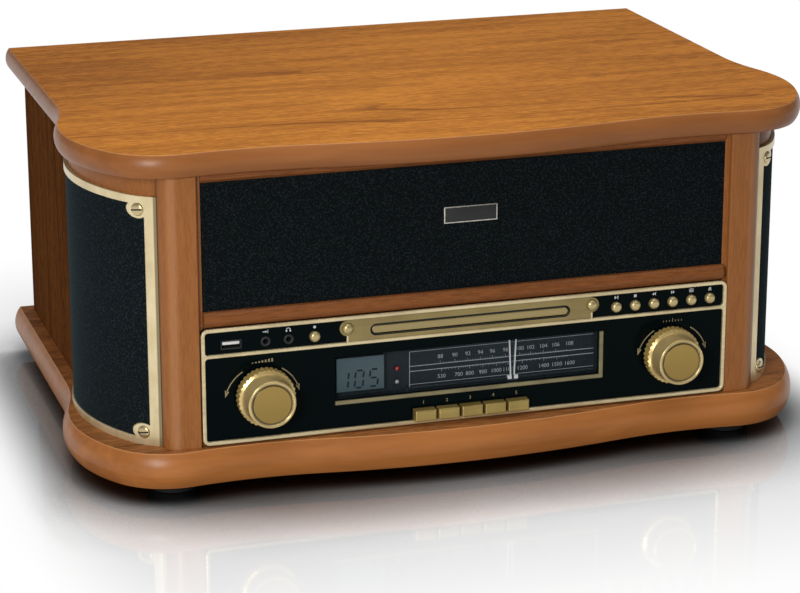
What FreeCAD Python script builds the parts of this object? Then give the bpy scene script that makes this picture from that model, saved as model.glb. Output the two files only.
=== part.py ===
import FreeCAD, Part
import Sketcher
import math
import os

# Retro wooden music centre: turntable under a hinged lid, disc tray, radio dial, cassette slot.
# Own frame: +X to the right, +Y to the back, +Z up, millimetres, standing on Z = 0.

V = FreeCAD.Vector
doc = FreeCAD.newDocument("MusicCentre")
sheet = doc.addObject("Spreadsheet::Sheet", "Sizes")


class Size:
    """A length that carries its number and the sheet expression it comes from."""

    def __init__(self, text, number):
        self.text = text
        self.number = float(number)

    def __add__(self, other):
        return join(self, "+", other)

    def __radd__(self, other):
        return join(other, "+", self)

    def __sub__(self, other):
        return join(self, "-", other)

    def __rsub__(self, other):
        return join(other, "-", self)

    def __mul__(self, other):
        return join(self, "*", other)

    def __rmul__(self, other):
        return join(other, "*", self)

    def __truediv__(self, other):
        return join(self, "/", other)

    def __neg__(self):
        return Size("(-%s)" % self.text, -self.number)


def lift(value):
    if isinstance(value, Size):
        return value
    return Size("(%.6g)" % value, value)


def join(left, sign, right):
    left, right = lift(left), lift(right)
    a, b = left.number, right.number
    number = {"+": a + b, "-": a - b, "*": a * b, "/": a / b if b else 0.0}[sign]
    return Size("(%s %s %s)" % (left.text, sign, right.text), number)


def root(value):
    return Size("sqrt(%s)" % value.text, math.sqrt(value.number))


def arcsine(value):
    return Size("asin(%s)" % value.text, math.degrees(math.asin(value.number)))


SIZES = {
    # Overall heights and depths, measured from the floor and from the fascia's front plane.
    "foot_height": 10, "base_thick": 23.3, "wall_height": 175.7, "lid_gap": 1, "lid_thick": 15,
    "body_depth": 320, "back_over": 9, "knob_proud": 21,
    # Plan outline of the lid and base boards, with the nosing that runs round their edge.
    "front_over": 11.6, "corner_over": 2.9, "bow_radius": 640, "dip_radius": 300, "side_over": 8.5,
    "bulge": 11, "bulge_set": 76, "corner_in": 44.5, "corner_radius": 45, "waist_radius": 150,
    "nosing_share": 0.18, "nosing_lap": 3,
    # Plan outline of the walls.
    "corner_wide": 26.4, "wall_bulge": 12.5, "wall_bulge_set": 97, "wall_corner_in": 48,
    "wall_front": 6.5, "wall_corner": 48, "wall_waist": 150, "clad": 2.5, "wall_thick": 10,
    "rear_thick": 6,
    # Front frame.
    "post_gap": 0.6, "post_wide": 22.6, "post_front": 1, "post_back": 22, "post_step": 3,
    "post_round": 10.5, "rail_back": 15, "top_rail_height": 5.6, "top_rail_set": 4,
    "mid_rail_height": 9.8, "mid_rail_bow": 3, "cloth_set": 5.5, "cloth_thick": 3.5,
    # Corner speakers.
    "grille_back": 158, "trim_width": 5, "trim_post_bar": 6.8, "trim_top_gap": 13.8, "cloth_back": 0.9,
    "ear_radius": 5.6, "ear_in": 10.5, "ear_rise": 8.6, "baffle_in": 18, "baffle_deep": 51,
    "baffle_wide": 104, "baffle_block": 60, "driver_radius": 32.5, "driver_rise": 76.7,
    "driver_hole_in": 5, "cap_radius": 12, "cap_rise": 4, "cone_in": 8, "surround_in": 6,
    "surround_out": 5.3, "surround_rise": 3, "basket_rim": 3, "basket_step": 4, "basket_radius": 22,
    "basket_deep": 22, "magnet_radius": 23, "magnet_deep": 36, "trim_fit": 0.2,
    # Fascia.
    "fascia_gap": 1.4, "fascia_half": 176.4, "fascia_height": 76.3, "trim_thick": 2, "panel_thick": 3,
    "trim_bar": 2.4, "trim_radius": 4.5, "divider_rise": 58.3, "divider_bar": 2.2, "knob_edge": 39.6,
    "knob_rise": 30.5, "knob_radius": 18.5, "knob_cap": 15.4, "skirt_depth": 7, "knob_gap": 0.8,
    "shaft_radius": 3, "shaft_fit": 0.05, "shaft_grip": 12, "flute_radius": 1.1, "flute_count": 36,
    "bead": 2.2, "bead_round": 1, "groove": 1.2, "groove_wide": 1.1, "skirt_step": 1, "skirt_rise": 1.2,
    "disc_sunk": 0.4, "disc_edge": 0.3, "pot_radius": 11, "pot_deep": 9, "pot_tab": 16,
    "pot_tab_top": 4, "pot_sheet": 3, "shaft_short": 0.4, "strip_rise": 64.9, "button_radius": 3.5,
    "button_proud": 2.8, "button_fit": 0.3, "button_step": 1, "button_tail": 9, "button_body": 3.5,
    "button_round": 2.2, "jack_radius": 3.2, "jack_bore": 1.8, "jack_body": 4.2, "jack_depth": 15,
    "jack_proud": 0.8, "usb_wide": 13.2, "usb_high": 5.8, "usb_wall": 0.6, "usb_depth": 14,
    "usb_lip": 0.3, "usb_end": 1.5, "tongue_rise": 0.85, "tongue_high": 1.5, "window_edge_left": 86.2,
    "window_edge_right": 88.4, "window_rise": 20.6, "window_height": 29.1, "glass_thick": 1.5,
    "dial_rim": 3, "dial_depth": 6.5, "dial_plate": 1.5, "strip_wide": 2.6, "display_wide": 31.8,
    "display_high": 22.7, "display_in": 2, "display_drop": 2.6, "pointer_in": 57.4, "pointer_wide": 5.2,
    "pointer_foot": 2.8, "lamp_in": 43.2, "lamp_rise": 15.2, "lamp_pitch": 9, "lamp_radius": 1.4,
    "lamp_fit": 0.3, "lamp_deep": 3.6, "guide_in": 6, "guide_deep": 2.6, "guide_rise": 1.2,
    "guide_radius": 0.7, "guide_fit": 0.3, "bezel_strip": 1.2, "window_fit": 0.1, "glass_sunk": 1,
    "screen_fit": 0.2, "screen_sunk": 1, "module_deep": 6, "module_left": 4, "module_low": 3,
    "module_right": 6, "module_top": 2, "blade_thick": 1.2, "blade_gap": 0.6, "slider_long": 7,
    "slider_deep": 2.8, "slider_high": 3, "slider_lift": 0.6, "key_pitch": 15.7, "key_wide": 14,
    "key_high": 7.2, "key_rise": 6.25, "key_proud": 4, "key_fit": 0.35, "key_stem": 12, "key_block": 2,
    "key_round": 0.7,
    # Disc player.
    "tray_rise": 65.95, "tray_half": 65.8, "tray_pill": 2.5, "tray_gap": 0.7, "tray_thick": 4.4,
    "tray_plate_half": 62, "tray_depth": 142, "disc_radius": 60.5, "disc_sink": 2.2,
    "stud_beyond": 16.2, "stud_radius": 3.6, "stud_lobe": 5, "stud_rise": 68.4, "stud_proud": 1.8,
    "stud_root": 0.2, "stud_round": 1.4, "plate_thick": 1.4, "plate_fit": 0.05, "tray_front": 6,
    "tray_edge": 0.6, "tray_sunk": 0.2, "tray_lap": 2, "disc_front": 4, "single_radius": 40,
    "single_sink": 0.9, "hub_slot": 19, "mech_gap": 0.8, "mech_rail": 8, "mech_front": 14,
    "mech_back": 18, "mech_drop": 12, "mech_sheet": 2.5, "bridge_rise": 4, "drive_radius": 15,
    "drive_high": 9.5, "disc_hub": 7, "disc_hub_high": 10.5, "clamp_radius": 14, "clamp_gap": 1.2,
    "clamp_high": 3, "mech_leg": 3, "mech_leg_in": 10,
    # Turntable deck.
    "deck_drop": 42, "deck_thick": 3, "deck_fit": 0.5, "platter_x": -42, "platter_set": 161.5,
    "platter_radius": 100, "platter_thick": 3.5, "rim_radius": 75, "rim_deep": 7, "mat_radius": 97,
    "mat_thick": 1.5, "platter_height": 14.5, "spindle_radius": 3.55, "spindle_bearing": 4.5,
    "spindle_fit": 0.06, "spindle_above": 10, "hub_radius": 11, "spindle_foot": 4, "pulley_radius": 6,
    "pulley_x": -121, "pulley_set": 122, "belt_thick": 0.8, "belt_high": 4, "belt_fit": 0.3,
    "motor_radius": 16, "motor_deep": 24, "motor_shaft": 1, "pulley_fit": 0.05, "arm_in": 78.5,
    "arm_back": 59.5, "arm_rise": 30, "head_set": 39.5, "arm_radius": 4, "arm_tail": 42,
    "weight_radius": 10.5, "weight_deep": 22, "yoke_radius": 15, "yoke_fit": 0.3, "arm_pin": 1.5,
    "arm_pin_fit": 0.05, "rest_along": 150, "cue_in": 41.5, "cue_set": 240, "speed_in": 45.5,
    "speed_set": 80, "lever_pin": 3, "lever_fit": 0.05, "platter_lip": 2, "rim_wall": 3,
    "platter_round": 1.2, "label_radius": 52, "label_sink": 0.5, "bearing_boss": 9, "boss_deep": 8,
    "spindle_taper": 2, "spindle_nose": 4, "spindle_end": 6, "spindle_gap": 0.4, "pulley_flange": 1.6,
    "pulley_lip": 0.9, "motor_boss": 5, "boss_out": 2, "shaft_root": 4, "flange_long": 50,
    "flange_half": 9, "flange_thick": 2, "collar": 3, "arm_post": 6, "cheek_set": 8.2,
    "cheek_wide": 3.4, "cheek_half": 6, "cheek_high": 18, "cheek_drop": 4, "yoke_drop": 11,
    "bend_run": 46, "head_off": 13, "head_back": 14, "shell_off": 11.5, "shell_back": 18,
    "shell_wide": 17, "shell_front": 28, "shell_long": 34, "shell_low": 3, "shell_high": 6.5,
    "tab_in": 8, "tab_front": 20, "tab_rise": 1, "tab_long": 13, "tab_wide": 3.4, "tab_thick": 1.6,
    "weight_past": 8, "arm_hub": 11, "arm_hub_half": 7, "arm_pin_past": 2, "cart_wide": 12,
    "cart_front": 25, "cart_low": 8.8, "cart_long": 18, "cart_high": 5.7, "stylus_wide": 4.4,
    "stylus_front": 31, "stylus_low": 10.4, "stylus_long": 20, "stylus_high": 2, "tip_radius": 0.5,
    "tip_long": 2, "tip_front": 29.5, "tip_low": 11.6, "rest_half": 4, "rest_wide": 15, "rest_fit": 0.3,
    "cue_rise": 8, "cue_slot": 3, "cue_ear": 6.5, "cue_ear_half": 5, "cue_pin": 1.5,
    "cue_pin_half": 6.3, "cue_hub": 4, "cue_hub_half": 2.6, "cue_arm": 28, "cue_arm_half": 2,
    "cue_arm_high": 1.6, "cue_knob": 3, "speed_below": 2, "speed_gap": 0.3, "speed_disc": 9,
    "speed_high": 4.5, "speed_lever": 17, "speed_lever_wide": 4, "speed_lever_high": 5,
    "speed_lever_rise": 3.3,
    # Lid hinges and stay.
    "hinge_in": 84.5, "hinge_back": 3.2, "knuckle": 3, "pin_radius": 1.5, "pin_fit": 0.05,
    "leaf_wide": 44, "leaf_thick": 1.5, "leaf_deep": 22, "leaf_high": 18, "middle_knuckle": 18,
    "knuckle_gap": 0.5, "stay_reach": 90, "stay_hang": 8, "stay_drop": 22, "stay_width": 12,
    "stay_thick": 2, "stay_length": 128, "stay_pin": 2, "stay_slack": 0.3, "stay_set": 1.3,
    "stay_end": 5, "stay_spare": 2, "stay_gap": 0.4, "stay_boss": 6, "stay_head": 4,
    "stay_head_thick": 1, "bracket_wide": 12, "bracket_half": 8, "bracket_sheet": 1.5, "bracket_ear": 6,
    "bracket_below": 5, "stay_pin_past": 0.3, "slot_front": 22, "slot_back": 34, "slot_room": 4,
    "leaf_fit": 0.2, "leaf_lip": 0.4, "leaf_neck": 3, "well_room": 1, "well_back": 1.2,
    # Cassette slot, back and base fittings.
    "cassette_set": 255, "cassette_rise": 76.7, "cassette_long": 104, "cassette_high": 14,
    "cassette_deep": 66, "shell_wall": 2, "bezel_lap": 6, "bezel_thick": 2, "bezel_foot": 13,
    "flap_thick": 1.6, "flap_pin": 1, "flap_fit": 0.3, "eject_along": 35, "eject_long": 14,
    "eject_high": 6, "eject_proud": 3, "vent_count": 11, "vent_pitch": 11, "vent_long": 34,
    "vent_wide": 4, "vent_rise": 90.7, "foot_radius": 17, "foot_taper": 2, "foot_round": 1.5,
    "foot_in": 44.5, "foot_y": 125, "socket_in": 93.5, "socket_rise": 38.7, "socket_pitch": 18,
    "socket_radius": 4.2, "socket_bore": 1.7, "socket_out": 7.5, "socket_flange": 7,
    "socket_sheet": 1.5, "socket_floor": 0.5, "gland_in": 63.5, "gland_bore": 3.2, "gland_radius": 5.8,
    "gland_flange": 9, "gland_out": 5, "tail_in": 4,
    # Amplifier board.
    "board_in": 28.5, "board_set": 190, "board_rise": 8, "board_side": 105, "board_thick": 1.6,
    "board_foot": 3, "board_foot_in": 6, "core_x": 8, "core_y": 52, "core_wide": 54, "core_deep": 46,
    "core_high": 44, "coil_lap": 4, "coil_set": 6, "coil_high": 30, "can_x": 78, "can_y": 20,
    "can_pitch": 26, "can_radius": 8, "can_high": 26, "sink_x": 12, "sink_y": 8, "sink_long": 48,
    "sink_deep": 30, "sink_foot": 5, "fin_pitch": 5, "fin_thick": 1.6, "fin_high": 28, "fin_count": 6,
}


class Sizes:
    """Rows of the sheet: a name in column A, a plain number with its alias in column B."""

    def __init__(self, table):
        for row, (name, number) in enumerate(table.items(), 1):
            sheet.set("A%d" % row, name)
            sheet.set("B%d" % row, "%.6g" % number)
            sheet.setAlias("B%d" % row, name)
            setattr(self, name, Size("Sizes." + name, number))


S = Sizes(SIZES)
doc.recompute()

# Levels and planes that several pieces share.
BASE_TOP = S.foot_height + S.base_thick
WALL_TOP = BASE_TOP + S.wall_height
LID_LOW = WALL_TOP + S.lid_gap
BOARD_BACK = S.body_depth + S.back_over
FRONT = (S.knob_proud - BOARD_BACK) / 2
REAR = FRONT + S.body_depth
REAR_IN = REAR - S.rear_thick
FASCIA_LOW = BASE_TOP + S.fascia_gap
FASCIA_TOP = FASCIA_LOW + S.fascia_height
PANEL_Y = FRONT + S.trim_thick
PANEL_BACK = PANEL_Y + S.panel_thick
STRIP_Z = FASCIA_LOW + S.strip_rise
KNOB_Z = FASCIA_LOW + S.knob_rise
TRAY_Z = FASCIA_LOW + S.tray_rise
KEY_Z = FASCIA_LOW + S.key_rise
WINDOW_LOW = FASCIA_LOW + S.window_rise
WINDOW_TOP = WINDOW_LOW + S.window_height
DIVIDER_Z = FASCIA_LOW + S.divider_rise
DECK_TOP = WALL_TOP - S.deck_drop
DECK_LOW = DECK_TOP - S.deck_thick
MID_LOW = FASCIA_TOP + 0.3
CLOTH_LOW = MID_LOW + S.mid_rail_height
CLOTH_TOP = WALL_TOP - S.top_rail_height
INNER = S.clad + S.wall_thick
POST_IN = S.fascia_half + S.post_gap
POST_OUT = POST_IN + S.post_wide
WALL_HALF = POST_OUT + S.corner_wide
SIDE_HALF = WALL_HALF + S.side_over
SIDE_IN = WALL_HALF - INNER
KNOB_X = S.fascia_half - S.knob_edge
WINDOW_LEFT = S.window_edge_left - S.fascia_half
WINDOW_RIGHT = S.fascia_half - S.window_edge_right
LAMP_X = WINDOW_LEFT + S.lamp_in
POINTER_X = WINDOW_RIGHT - S.pointer_in
STUD_X = S.tray_half + S.stud_beyond
FAR = 400.0
OVER = 1.0

nodes = []
counter = [0]


def fresh(kind):
    counter[0] += 1
    return "%s_%03d" % (kind, counter[0])


def bind(thing, name, value):
    """Sets a property, tied to the sheet when the value comes from it."""
    value = lift(value)
    if "Sizes." in value.text:
        thing.setExpression(name, value.text)
    elif "." not in name:
        setattr(thing, name, value.number)


def place(thing, x, y, z, rotation=None):
    where = [lift(v) for v in (x, y, z)]
    turn = rotation or FreeCAD.Rotation()
    thing.Placement = FreeCAD.Placement(V(*[v.number for v in where]), turn)
    for axis, value in zip("xyz", where):
        bind(thing, "Placement.Base." + axis, value)
    return thing


def node(label, thing):
    thing.Label = label
    nodes.append((label, thing))
    return thing


# Solid primitives and booleans.

def box(x0, y0, z0, x1, y1, z1):
    thing = doc.addObject("Part::Box", fresh("box"))
    bind(thing, "Length", lift(x1) - x0)
    bind(thing, "Width", lift(y1) - y0)
    bind(thing, "Height", lift(z1) - z0)
    return place(thing, x0, y0, z0)


def mid_box(x, y0, z, width, y1, height):
    x, z = lift(x), lift(z)
    half_x, half_z = lift(width) / 2, lift(height) / 2
    return box(x - half_x, y0, z - half_z, x + half_x, y1, z + half_z)


TURNS = {"x": FreeCAD.Rotation(V(0, 1, 0), 90), "y": FreeCAD.Rotation(V(1, 0, 0), -90),
         "z": FreeCAD.Rotation(), "front": FreeCAD.Rotation(V(1, 0, 0), 90)}


def rod(axis, x, y, z, radius, length):
    """A cylinder that starts at a point and runs along +X, +Y or +Z."""
    thing = doc.addObject("Part::Cylinder", fresh("rod"))
    bind(thing, "Radius", radius)
    bind(thing, "Height", length)
    return place(thing, x, y, z, TURNS[axis])


def boolean(kind, items):
    thing = doc.addObject(kind, fresh(kind.split("::")[1].lower()))
    thing.Shapes = list(items)
    return thing


def fuse(*items):
    thing = boolean("Part::MultiFuse", items)
    thing.Refine = True
    return thing


def common(*items):
    return boolean("Part::MultiCommon", items)


def cut(base, *tools):
    thing = doc.addObject("Part::Cut", fresh("cut"))
    thing.Base = base
    thing.Tool = tools[0] if len(tools) == 1 else fuse(*tools)
    return thing


def mirror(item):
    thing = doc.addObject("Part::Mirroring", fresh("mirror"))
    thing.Source = item
    thing.Normal = V(1, 0, 0)
    thing.Base = V(0, 0, 0)
    return thing


def group(*items):
    thing = doc.addObject("Part::Compound", fresh("group"))
    thing.Links = list(items)
    return thing


# Bodies, sketches and their features.

def new_body():
    return doc.addObject("PartDesign::Body", fresh("body"))


def origin_plane(body, role):
    return [item for item in body.Origin.OriginFeatures if item.Role == role + "_Plane"][0]


def sketch_on(body, plane, offset=0):
    """XY looks down, XZ is seen from the front (normal -Y), YZ from the right (normal +X)."""
    sketch = body.newObject("Sketcher::SketchObject", fresh("sketch"))
    sketch.AttachmentSupport = [(origin_plane(body, plane), "")]
    sketch.MapMode = "FlatFace"
    bind(sketch, "AttachmentOffset.Base.z", offset)
    return sketch


def dimension(sketch, kind, *where_and_value):
    *where, value = where_and_value
    value = lift(value)
    number = sketch.addConstraint(Sketcher.Constraint(kind, *where, value.number))
    if "Sizes." in value.text:
        sketch.setExpression("Constraints[%d]" % number, value.text)


def pin(sketch, geometry, point, x=None, y=None):
    """Dimensions a point from the sketch's origin."""
    for kind, axis, value in (("DistanceX", -2, x), ("DistanceY", -1, y)):
        if value is None:
            continue
        if lift(value).number == 0 and not isinstance(value, Size):
            sketch.addConstraint(Sketcher.Constraint("PointOnObject", geometry, point, axis))
        else:
            dimension(sketch, kind, -1, 1, geometry, point, value)


def spot(point):
    return V(lift(point[0]).number, lift(point[1]).number, 0)


def polygon(sketch, points):
    count = len(points)
    first = sketch.GeometryCount
    for i in range(count):
        sketch.addGeometry(Part.LineSegment(spot(points[i]), spot(points[(i + 1) % count])), False)
    sketch.addConstraint([Sketcher.Constraint("Coincident", first + i, 2, first + (i + 1) % count, 1)
                          for i in range(count)])
    for i, (x, y) in enumerate(points):
        pin(sketch, first + i, 1, x, y)


def circle(sketch, x, y, radius):
    item = sketch.addGeometry(Part.Circle(spot((x, y)), V(0, 0, 1), lift(radius).number), False)
    dimension(sketch, "Radius", item, radius)
    pin(sketch, item, 3, x, y)


def arc(centre, radius, start, end):
    return Part.ArcOfCircle(Part.Circle(centre, V(0, 0, 1), radius), start, end)


def tangents(sketch, pairs):
    sketch.addConstraint([Sketcher.Constraint("Tangent", *pair) for pair in pairs])


def pill(sketch, x0, x1, y, radius):
    """A slot with round ends whose end centres are at x0 and x1."""
    a, b, r = spot((x0, y)), spot((x1, y)), lift(radius).number
    first = sketch.GeometryCount
    sketch.addGeometry(Part.LineSegment(a + V(0, -r, 0), b + V(0, -r, 0)), False)
    sketch.addGeometry(arc(b, r, -math.pi / 2, math.pi / 2), False)
    sketch.addGeometry(Part.LineSegment(b + V(0, r, 0), a + V(0, r, 0)), False)
    sketch.addGeometry(arc(a, r, math.pi / 2, 1.5 * math.pi), False)
    ring = [first + i for i in range(4)]
    tangents(sketch, [(ring[i], 2, ring[(i + 1) % 4], 1) for i in range(4)])
    sketch.addConstraint(Sketcher.Constraint("Horizontal", first))
    dimension(sketch, "Radius", first + 1, radius)
    pin(sketch, first + 1, 3, x1, y)
    pin(sketch, first + 3, 3, x0, None)


def round_rectangle(sketch, x0, y0, x1, y1, radius):
    a, b, r = spot((x0, y0)), spot((x1, y1)), lift(radius).number
    half = math.pi / 2
    first = sketch.GeometryCount
    ends = [((a.x + r, a.y), (b.x - r, a.y)), ((b.x, a.y + r), (b.x, b.y - r)),
            ((b.x - r, b.y), (a.x + r, b.y)), ((a.x, b.y - r), (a.x, a.y + r))]
    centres = [(b.x - r, a.y + r), (b.x - r, b.y - r), (a.x + r, b.y - r), (a.x + r, a.y + r)]
    for i in range(4):
        sketch.addGeometry(Part.LineSegment(V(*ends[i][0], 0), V(*ends[i][1], 0)), False)
        sketch.addGeometry(arc(V(*centres[i], 0), r, (i - 1) * half, i * half), False)
    tangents(sketch, [(first + i, 2, first + (i + 1) % 8, 1) for i in range(8)])
    for i, kind in enumerate(("Horizontal", "Vertical", "Horizontal", "Vertical")):
        sketch.addConstraint(Sketcher.Constraint(kind, first + 2 * i))
    dimension(sketch, "Radius", first + 1, radius)
    sketch.addConstraint([Sketcher.Constraint("Equal", first + 1, first + k) for k in (3, 5)])
    pin(sketch, first, 1, None, y0)
    pin(sketch, first + 2, 1, x1, None)
    pin(sketch, first + 4, 1, None, y1)
    pin(sketch, first + 6, 1, x0, None)


def feature(body, kind, profile, **settings):
    item = body.newObject("PartDesign::" + kind, fresh(kind.lower()))
    item.Profile = profile
    profile.Visibility = False
    for name, value in settings.items():
        if isinstance(value, (Size, float, int)) and not isinstance(value, bool):
            bind(item, name, value)
        else:
            setattr(item, name, value)
    return item


def pad(body, sketch, length, back=False):
    return feature(body, "Pad", sketch, Length=length, Reversed=back)


def pocket(body, sketch, length=None, back=False):
    if length is None:
        return feature(body, "Pocket", sketch, Type="ThroughAll", Reversed=back, Midplane=True)
    return feature(body, "Pocket", sketch, Length=length, Reversed=back)


def round_edges(body, test, radius, kind="Fillet"):
    doc.recompute()
    base = body.Tip
    names = ["Edge%d" % (i + 1) for i, edge in enumerate(base.Shape.Edges) if test(edge)]
    item = body.newObject("PartDesign::" + kind, fresh(kind.lower()))
    item.Base = (base, names)
    bind(item, "Radius" if kind == "Fillet" else "Size", radius)
    return item


def turned(profile):
    """A body turned about its own Z from (radius, height) corners."""
    body = new_body()
    sketch = sketch_on(body, "XZ")
    polygon(sketch, profile)
    feature(body, "Revolution", sketch, ReferenceAxis=(sketch, ["V_Axis"]), Angle=360)
    return body


def rim_at(radius, height):
    """Test for a turned body's full circle at a radius and height."""
    radius, height = lift(radius).number, lift(height).number

    def test(edge):
        if not hasattr(edge.Curve, "Radius"):
            return False
        return abs(edge.Curve.Radius - radius) < 0.01 and abs(edge.BoundBox.ZMin - height) < 0.01
    return test


def along(axis, limits=None):
    """Test for straight edges that run along an axis, inside optional limits on their middle."""
    index = "xyz".index(axis)

    def test(edge):
        if len(edge.Vertexes) != 2 or hasattr(edge.Curve, "Radius"):
            return False
        run = edge.Vertexes[1].Point - edge.Vertexes[0].Point
        others = [abs(run[k]) for k in range(3) if k != index]
        if max(others) > 1e-6 or abs(run[index]) < 1e-6:
            return False
        return limits is None or limits(edge.CenterOfMass)
    return test


# Plan outlines: half of the shape, with a front edge, a round corner, a bulge, a waist and a straight side.

class Plan:
    def __init__(self, front, start, corner, bulge, bulge_y, waist, side, back, bow=None):
        self.front, self.start, self.corner, self.bulge = front, start, corner, bulge
        self.bulge_y, self.waist, self.side, self.back = bulge_y, waist, side, back
        self.bow = bow

    def inset(self, step, back=0):
        return Plan(self.front + step, self.start, self.corner - step, self.bulge - step, self.bulge_y,
                    self.waist + step, self.side - step, self.back + back)

    def middle_front(self):
        return self.bow[0] if self.bow else self.front

    def straight_front(self, sketch, corner_spot):
        """A straight front edge, tangent to the corner."""
        low = self.front.number
        sketch.addGeometry(Part.LineSegment(V(0, low, 0), V(corner_spot.x, low, 0)), False)
        return -math.pi / 2

    def bowed_front(self, sketch, corner_spot):
        """A bow that swings back through a hollow dip into the corner."""
        crest, bow, dip = [value.number for value in self.bow]
        bow_spot = V(0, crest + bow, 0)
        gap = corner_spot - bow_spot
        reach = ((bow + dip) ** 2 - (self.corner.number + dip) ** 2 + gap.Length ** 2) / (2 * gap.Length)
        aside = math.sqrt((bow + dip) ** 2 - reach ** 2)
        heading = gap / gap.Length
        dip_spot = bow_spot + heading * reach + V(heading.y, -heading.x, 0) * aside
        leave = math.atan2(dip_spot.y - bow_spot.y, dip_spot.x - bow_spot.x)
        meet = math.atan2(corner_spot.y - dip_spot.y, corner_spot.x - dip_spot.x)
        sketch.addGeometry(arc(bow_spot, bow, -math.pi / 2, leave), False)
        sketch.addGeometry(arc(dip_spot, dip, meet, leave + math.pi), False)
        return meet - math.pi

    def draw(self, sketch):
        reach = self.bulge - self.start
        rise = self.bulge_y - self.front - self.corner
        big = (reach * reach + rise * rise - self.corner * self.corner) / (2 * (reach - self.corner))
        waist_x = self.side + self.waist
        run = waist_x - (self.bulge - big)
        total = big + self.waist
        waist_y = self.bulge_y + root(total * total - run * run)
        c1 = spot((self.start, self.front + self.corner))
        c2 = spot((self.bulge - big, self.bulge_y))
        c3 = spot((waist_x, waist_y))
        turn1 = math.atan2(c1.y - c2.y, c1.x - c2.x)
        turn2 = math.atan2(c3.y - c2.y, c3.x - c2.x)
        low, high = self.middle_front().number, self.back.number
        side = self.side.number
        turn0 = self.bowed_front(sketch, c1) if self.bow else self.straight_front(sketch, c1)
        corner = sketch.GeometryCount
        for item in (arc(c1, self.corner.number, turn0, turn1),
                     arc(c2, big.number, turn1, turn2),
                     arc(c3, self.waist.number, math.pi, math.pi + turn2),
                     Part.LineSegment(V(side, c3.y, 0), V(side, high, 0)),
                     Part.LineSegment(V(side, high, 0), V(0, high, 0)),
                     Part.LineSegment(V(0, high, 0), V(0, low, 0))):
            sketch.addGeometry(item, False)
        bulge, waist, flank, rear, axis = [corner + k for k in range(1, 6)]
        tangents(sketch, [(corner, 2, bulge, 1), (bulge, 2, waist, 2), (waist, 1, flank, 1)])
        sketch.addConstraint([Sketcher.Constraint("Coincident", *ends) for ends in
                              ((flank, 2, rear, 1), (rear, 2, axis, 1), (axis, 2, 0, 1))])
        for kind, line in (("Vertical", flank), ("Horizontal", rear), ("Vertical", axis)):
            sketch.addConstraint(Sketcher.Constraint(kind, line))
        pin(sketch, 0, 1, 0, self.middle_front())
        pin(sketch, rear, 2, None, self.back)
        pin(sketch, flank, 1, self.side, None)
        dimension(sketch, "Radius", corner, self.corner)
        pin(sketch, bulge, 3, None, self.bulge_y)
        dimension(sketch, "Radius", bulge, big)
        dimension(sketch, "Radius", waist, self.waist)
        if self.bow:
            tangents(sketch, [(0, 2, 1, 2), (1, 1, corner, 1)])
            pin(sketch, 0, 3, 0, None)
            dimension(sketch, "Radius", 0, self.bow[1])
            dimension(sketch, "Radius", 1, self.bow[2])
            pin(sketch, corner, 3, self.start, self.front + self.corner)
        else:
            tangents(sketch, [(0, 2, corner, 1)])
            sketch.addConstraint(Sketcher.Constraint("Horizontal", 0))
            pin(sketch, corner, 3, self.start, None)

    def solid(self, low, height):
        body = new_body()
        sketch = sketch_on(body, "XY", low)
        self.draw(sketch)
        pad(body, sketch, height)
        return body


BOARD = Plan(FRONT - S.corner_over, SIDE_HALF - S.corner_in, S.corner_radius, SIDE_HALF + S.bulge,
             FRONT + S.bulge_set, S.waist_radius, SIDE_HALF, FRONT + BOARD_BACK,
             (FRONT - S.front_over, S.bow_radius, S.dip_radius))
WALL = Plan(FRONT + S.wall_front, WALL_HALF - S.wall_corner_in, S.wall_corner, WALL_HALF + S.wall_bulge,
            FRONT + S.wall_bulge_set, S.wall_waist, WALL_HALF, REAR)


def nosed_board(low, thick):
    """A shaped board whose front and sides carry a swept, bulging nosing under a crisp arris."""
    body = new_body()
    outline = sketch_on(body, "XY", low)
    BOARD.draw(outline)
    core = pad(body, outline, thick)
    section = sketch_on(body, "YZ")
    y, lap = BOARD.middle_front(), BOARD.middle_front() + S.nosing_lap
    high = low + thick
    proud = thick * S.nosing_share
    bow = (thick * thick / 4 + proud * proud) / (2 * proud)
    middle = spot((y - proud + bow, low + thick / 2))
    half = math.asin(thick.number / 2 / bow.number)
    corners = [(y, low), (lap, low), (lap, high), (y, high)]
    for i in range(3):
        section.addGeometry(Part.LineSegment(spot(corners[i]), spot(corners[i + 1])), False)
    section.addGeometry(arc(middle, bow.number, math.pi - half, math.pi + half), False)
    section.addConstraint([Sketcher.Constraint("Coincident", *ends) for ends in
                           ((0, 2, 1, 1), (1, 2, 2, 1), (2, 2, 3, 1), (3, 2, 0, 1))])
    for i in range(3):
        pin(section, i, 1, *corners[i])
    pin(section, 2, 2, *corners[3])
    dimension(section, "Radius", 3, bow)
    nose = body.newObject("PartDesign::AdditivePipe", fresh("nosing"))
    nose.Profile = section
    nose.Spine = (outline, ["Edge%d" % k for k in range(1, 7)])
    other = body.newObject("PartDesign::Mirrored", fresh("mirrored"))
    other.Originals = [core, nose]
    other.MirrorPlane = (origin_plane(body, "YZ"), [""])
    body.Tip = other
    return body


# Base board and feet.
node("base_board", nosed_board(lift(S.foot_height), S.base_thick))
feet = []
for side in (-1, 1):
    for end in (-1, 1):
        sole = S.foot_radius - S.foot_taper
        foot = turned([(0, 0), (sole, 0), (S.foot_radius, S.foot_height), (0, S.foot_height)])
        round_edges(foot, rim_at(sole, 0), S.foot_round)
        feet.append(place(foot, (SIDE_HALF - S.foot_in) * side, S.foot_y * end, 0))
node("feet", group(*feet))

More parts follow.
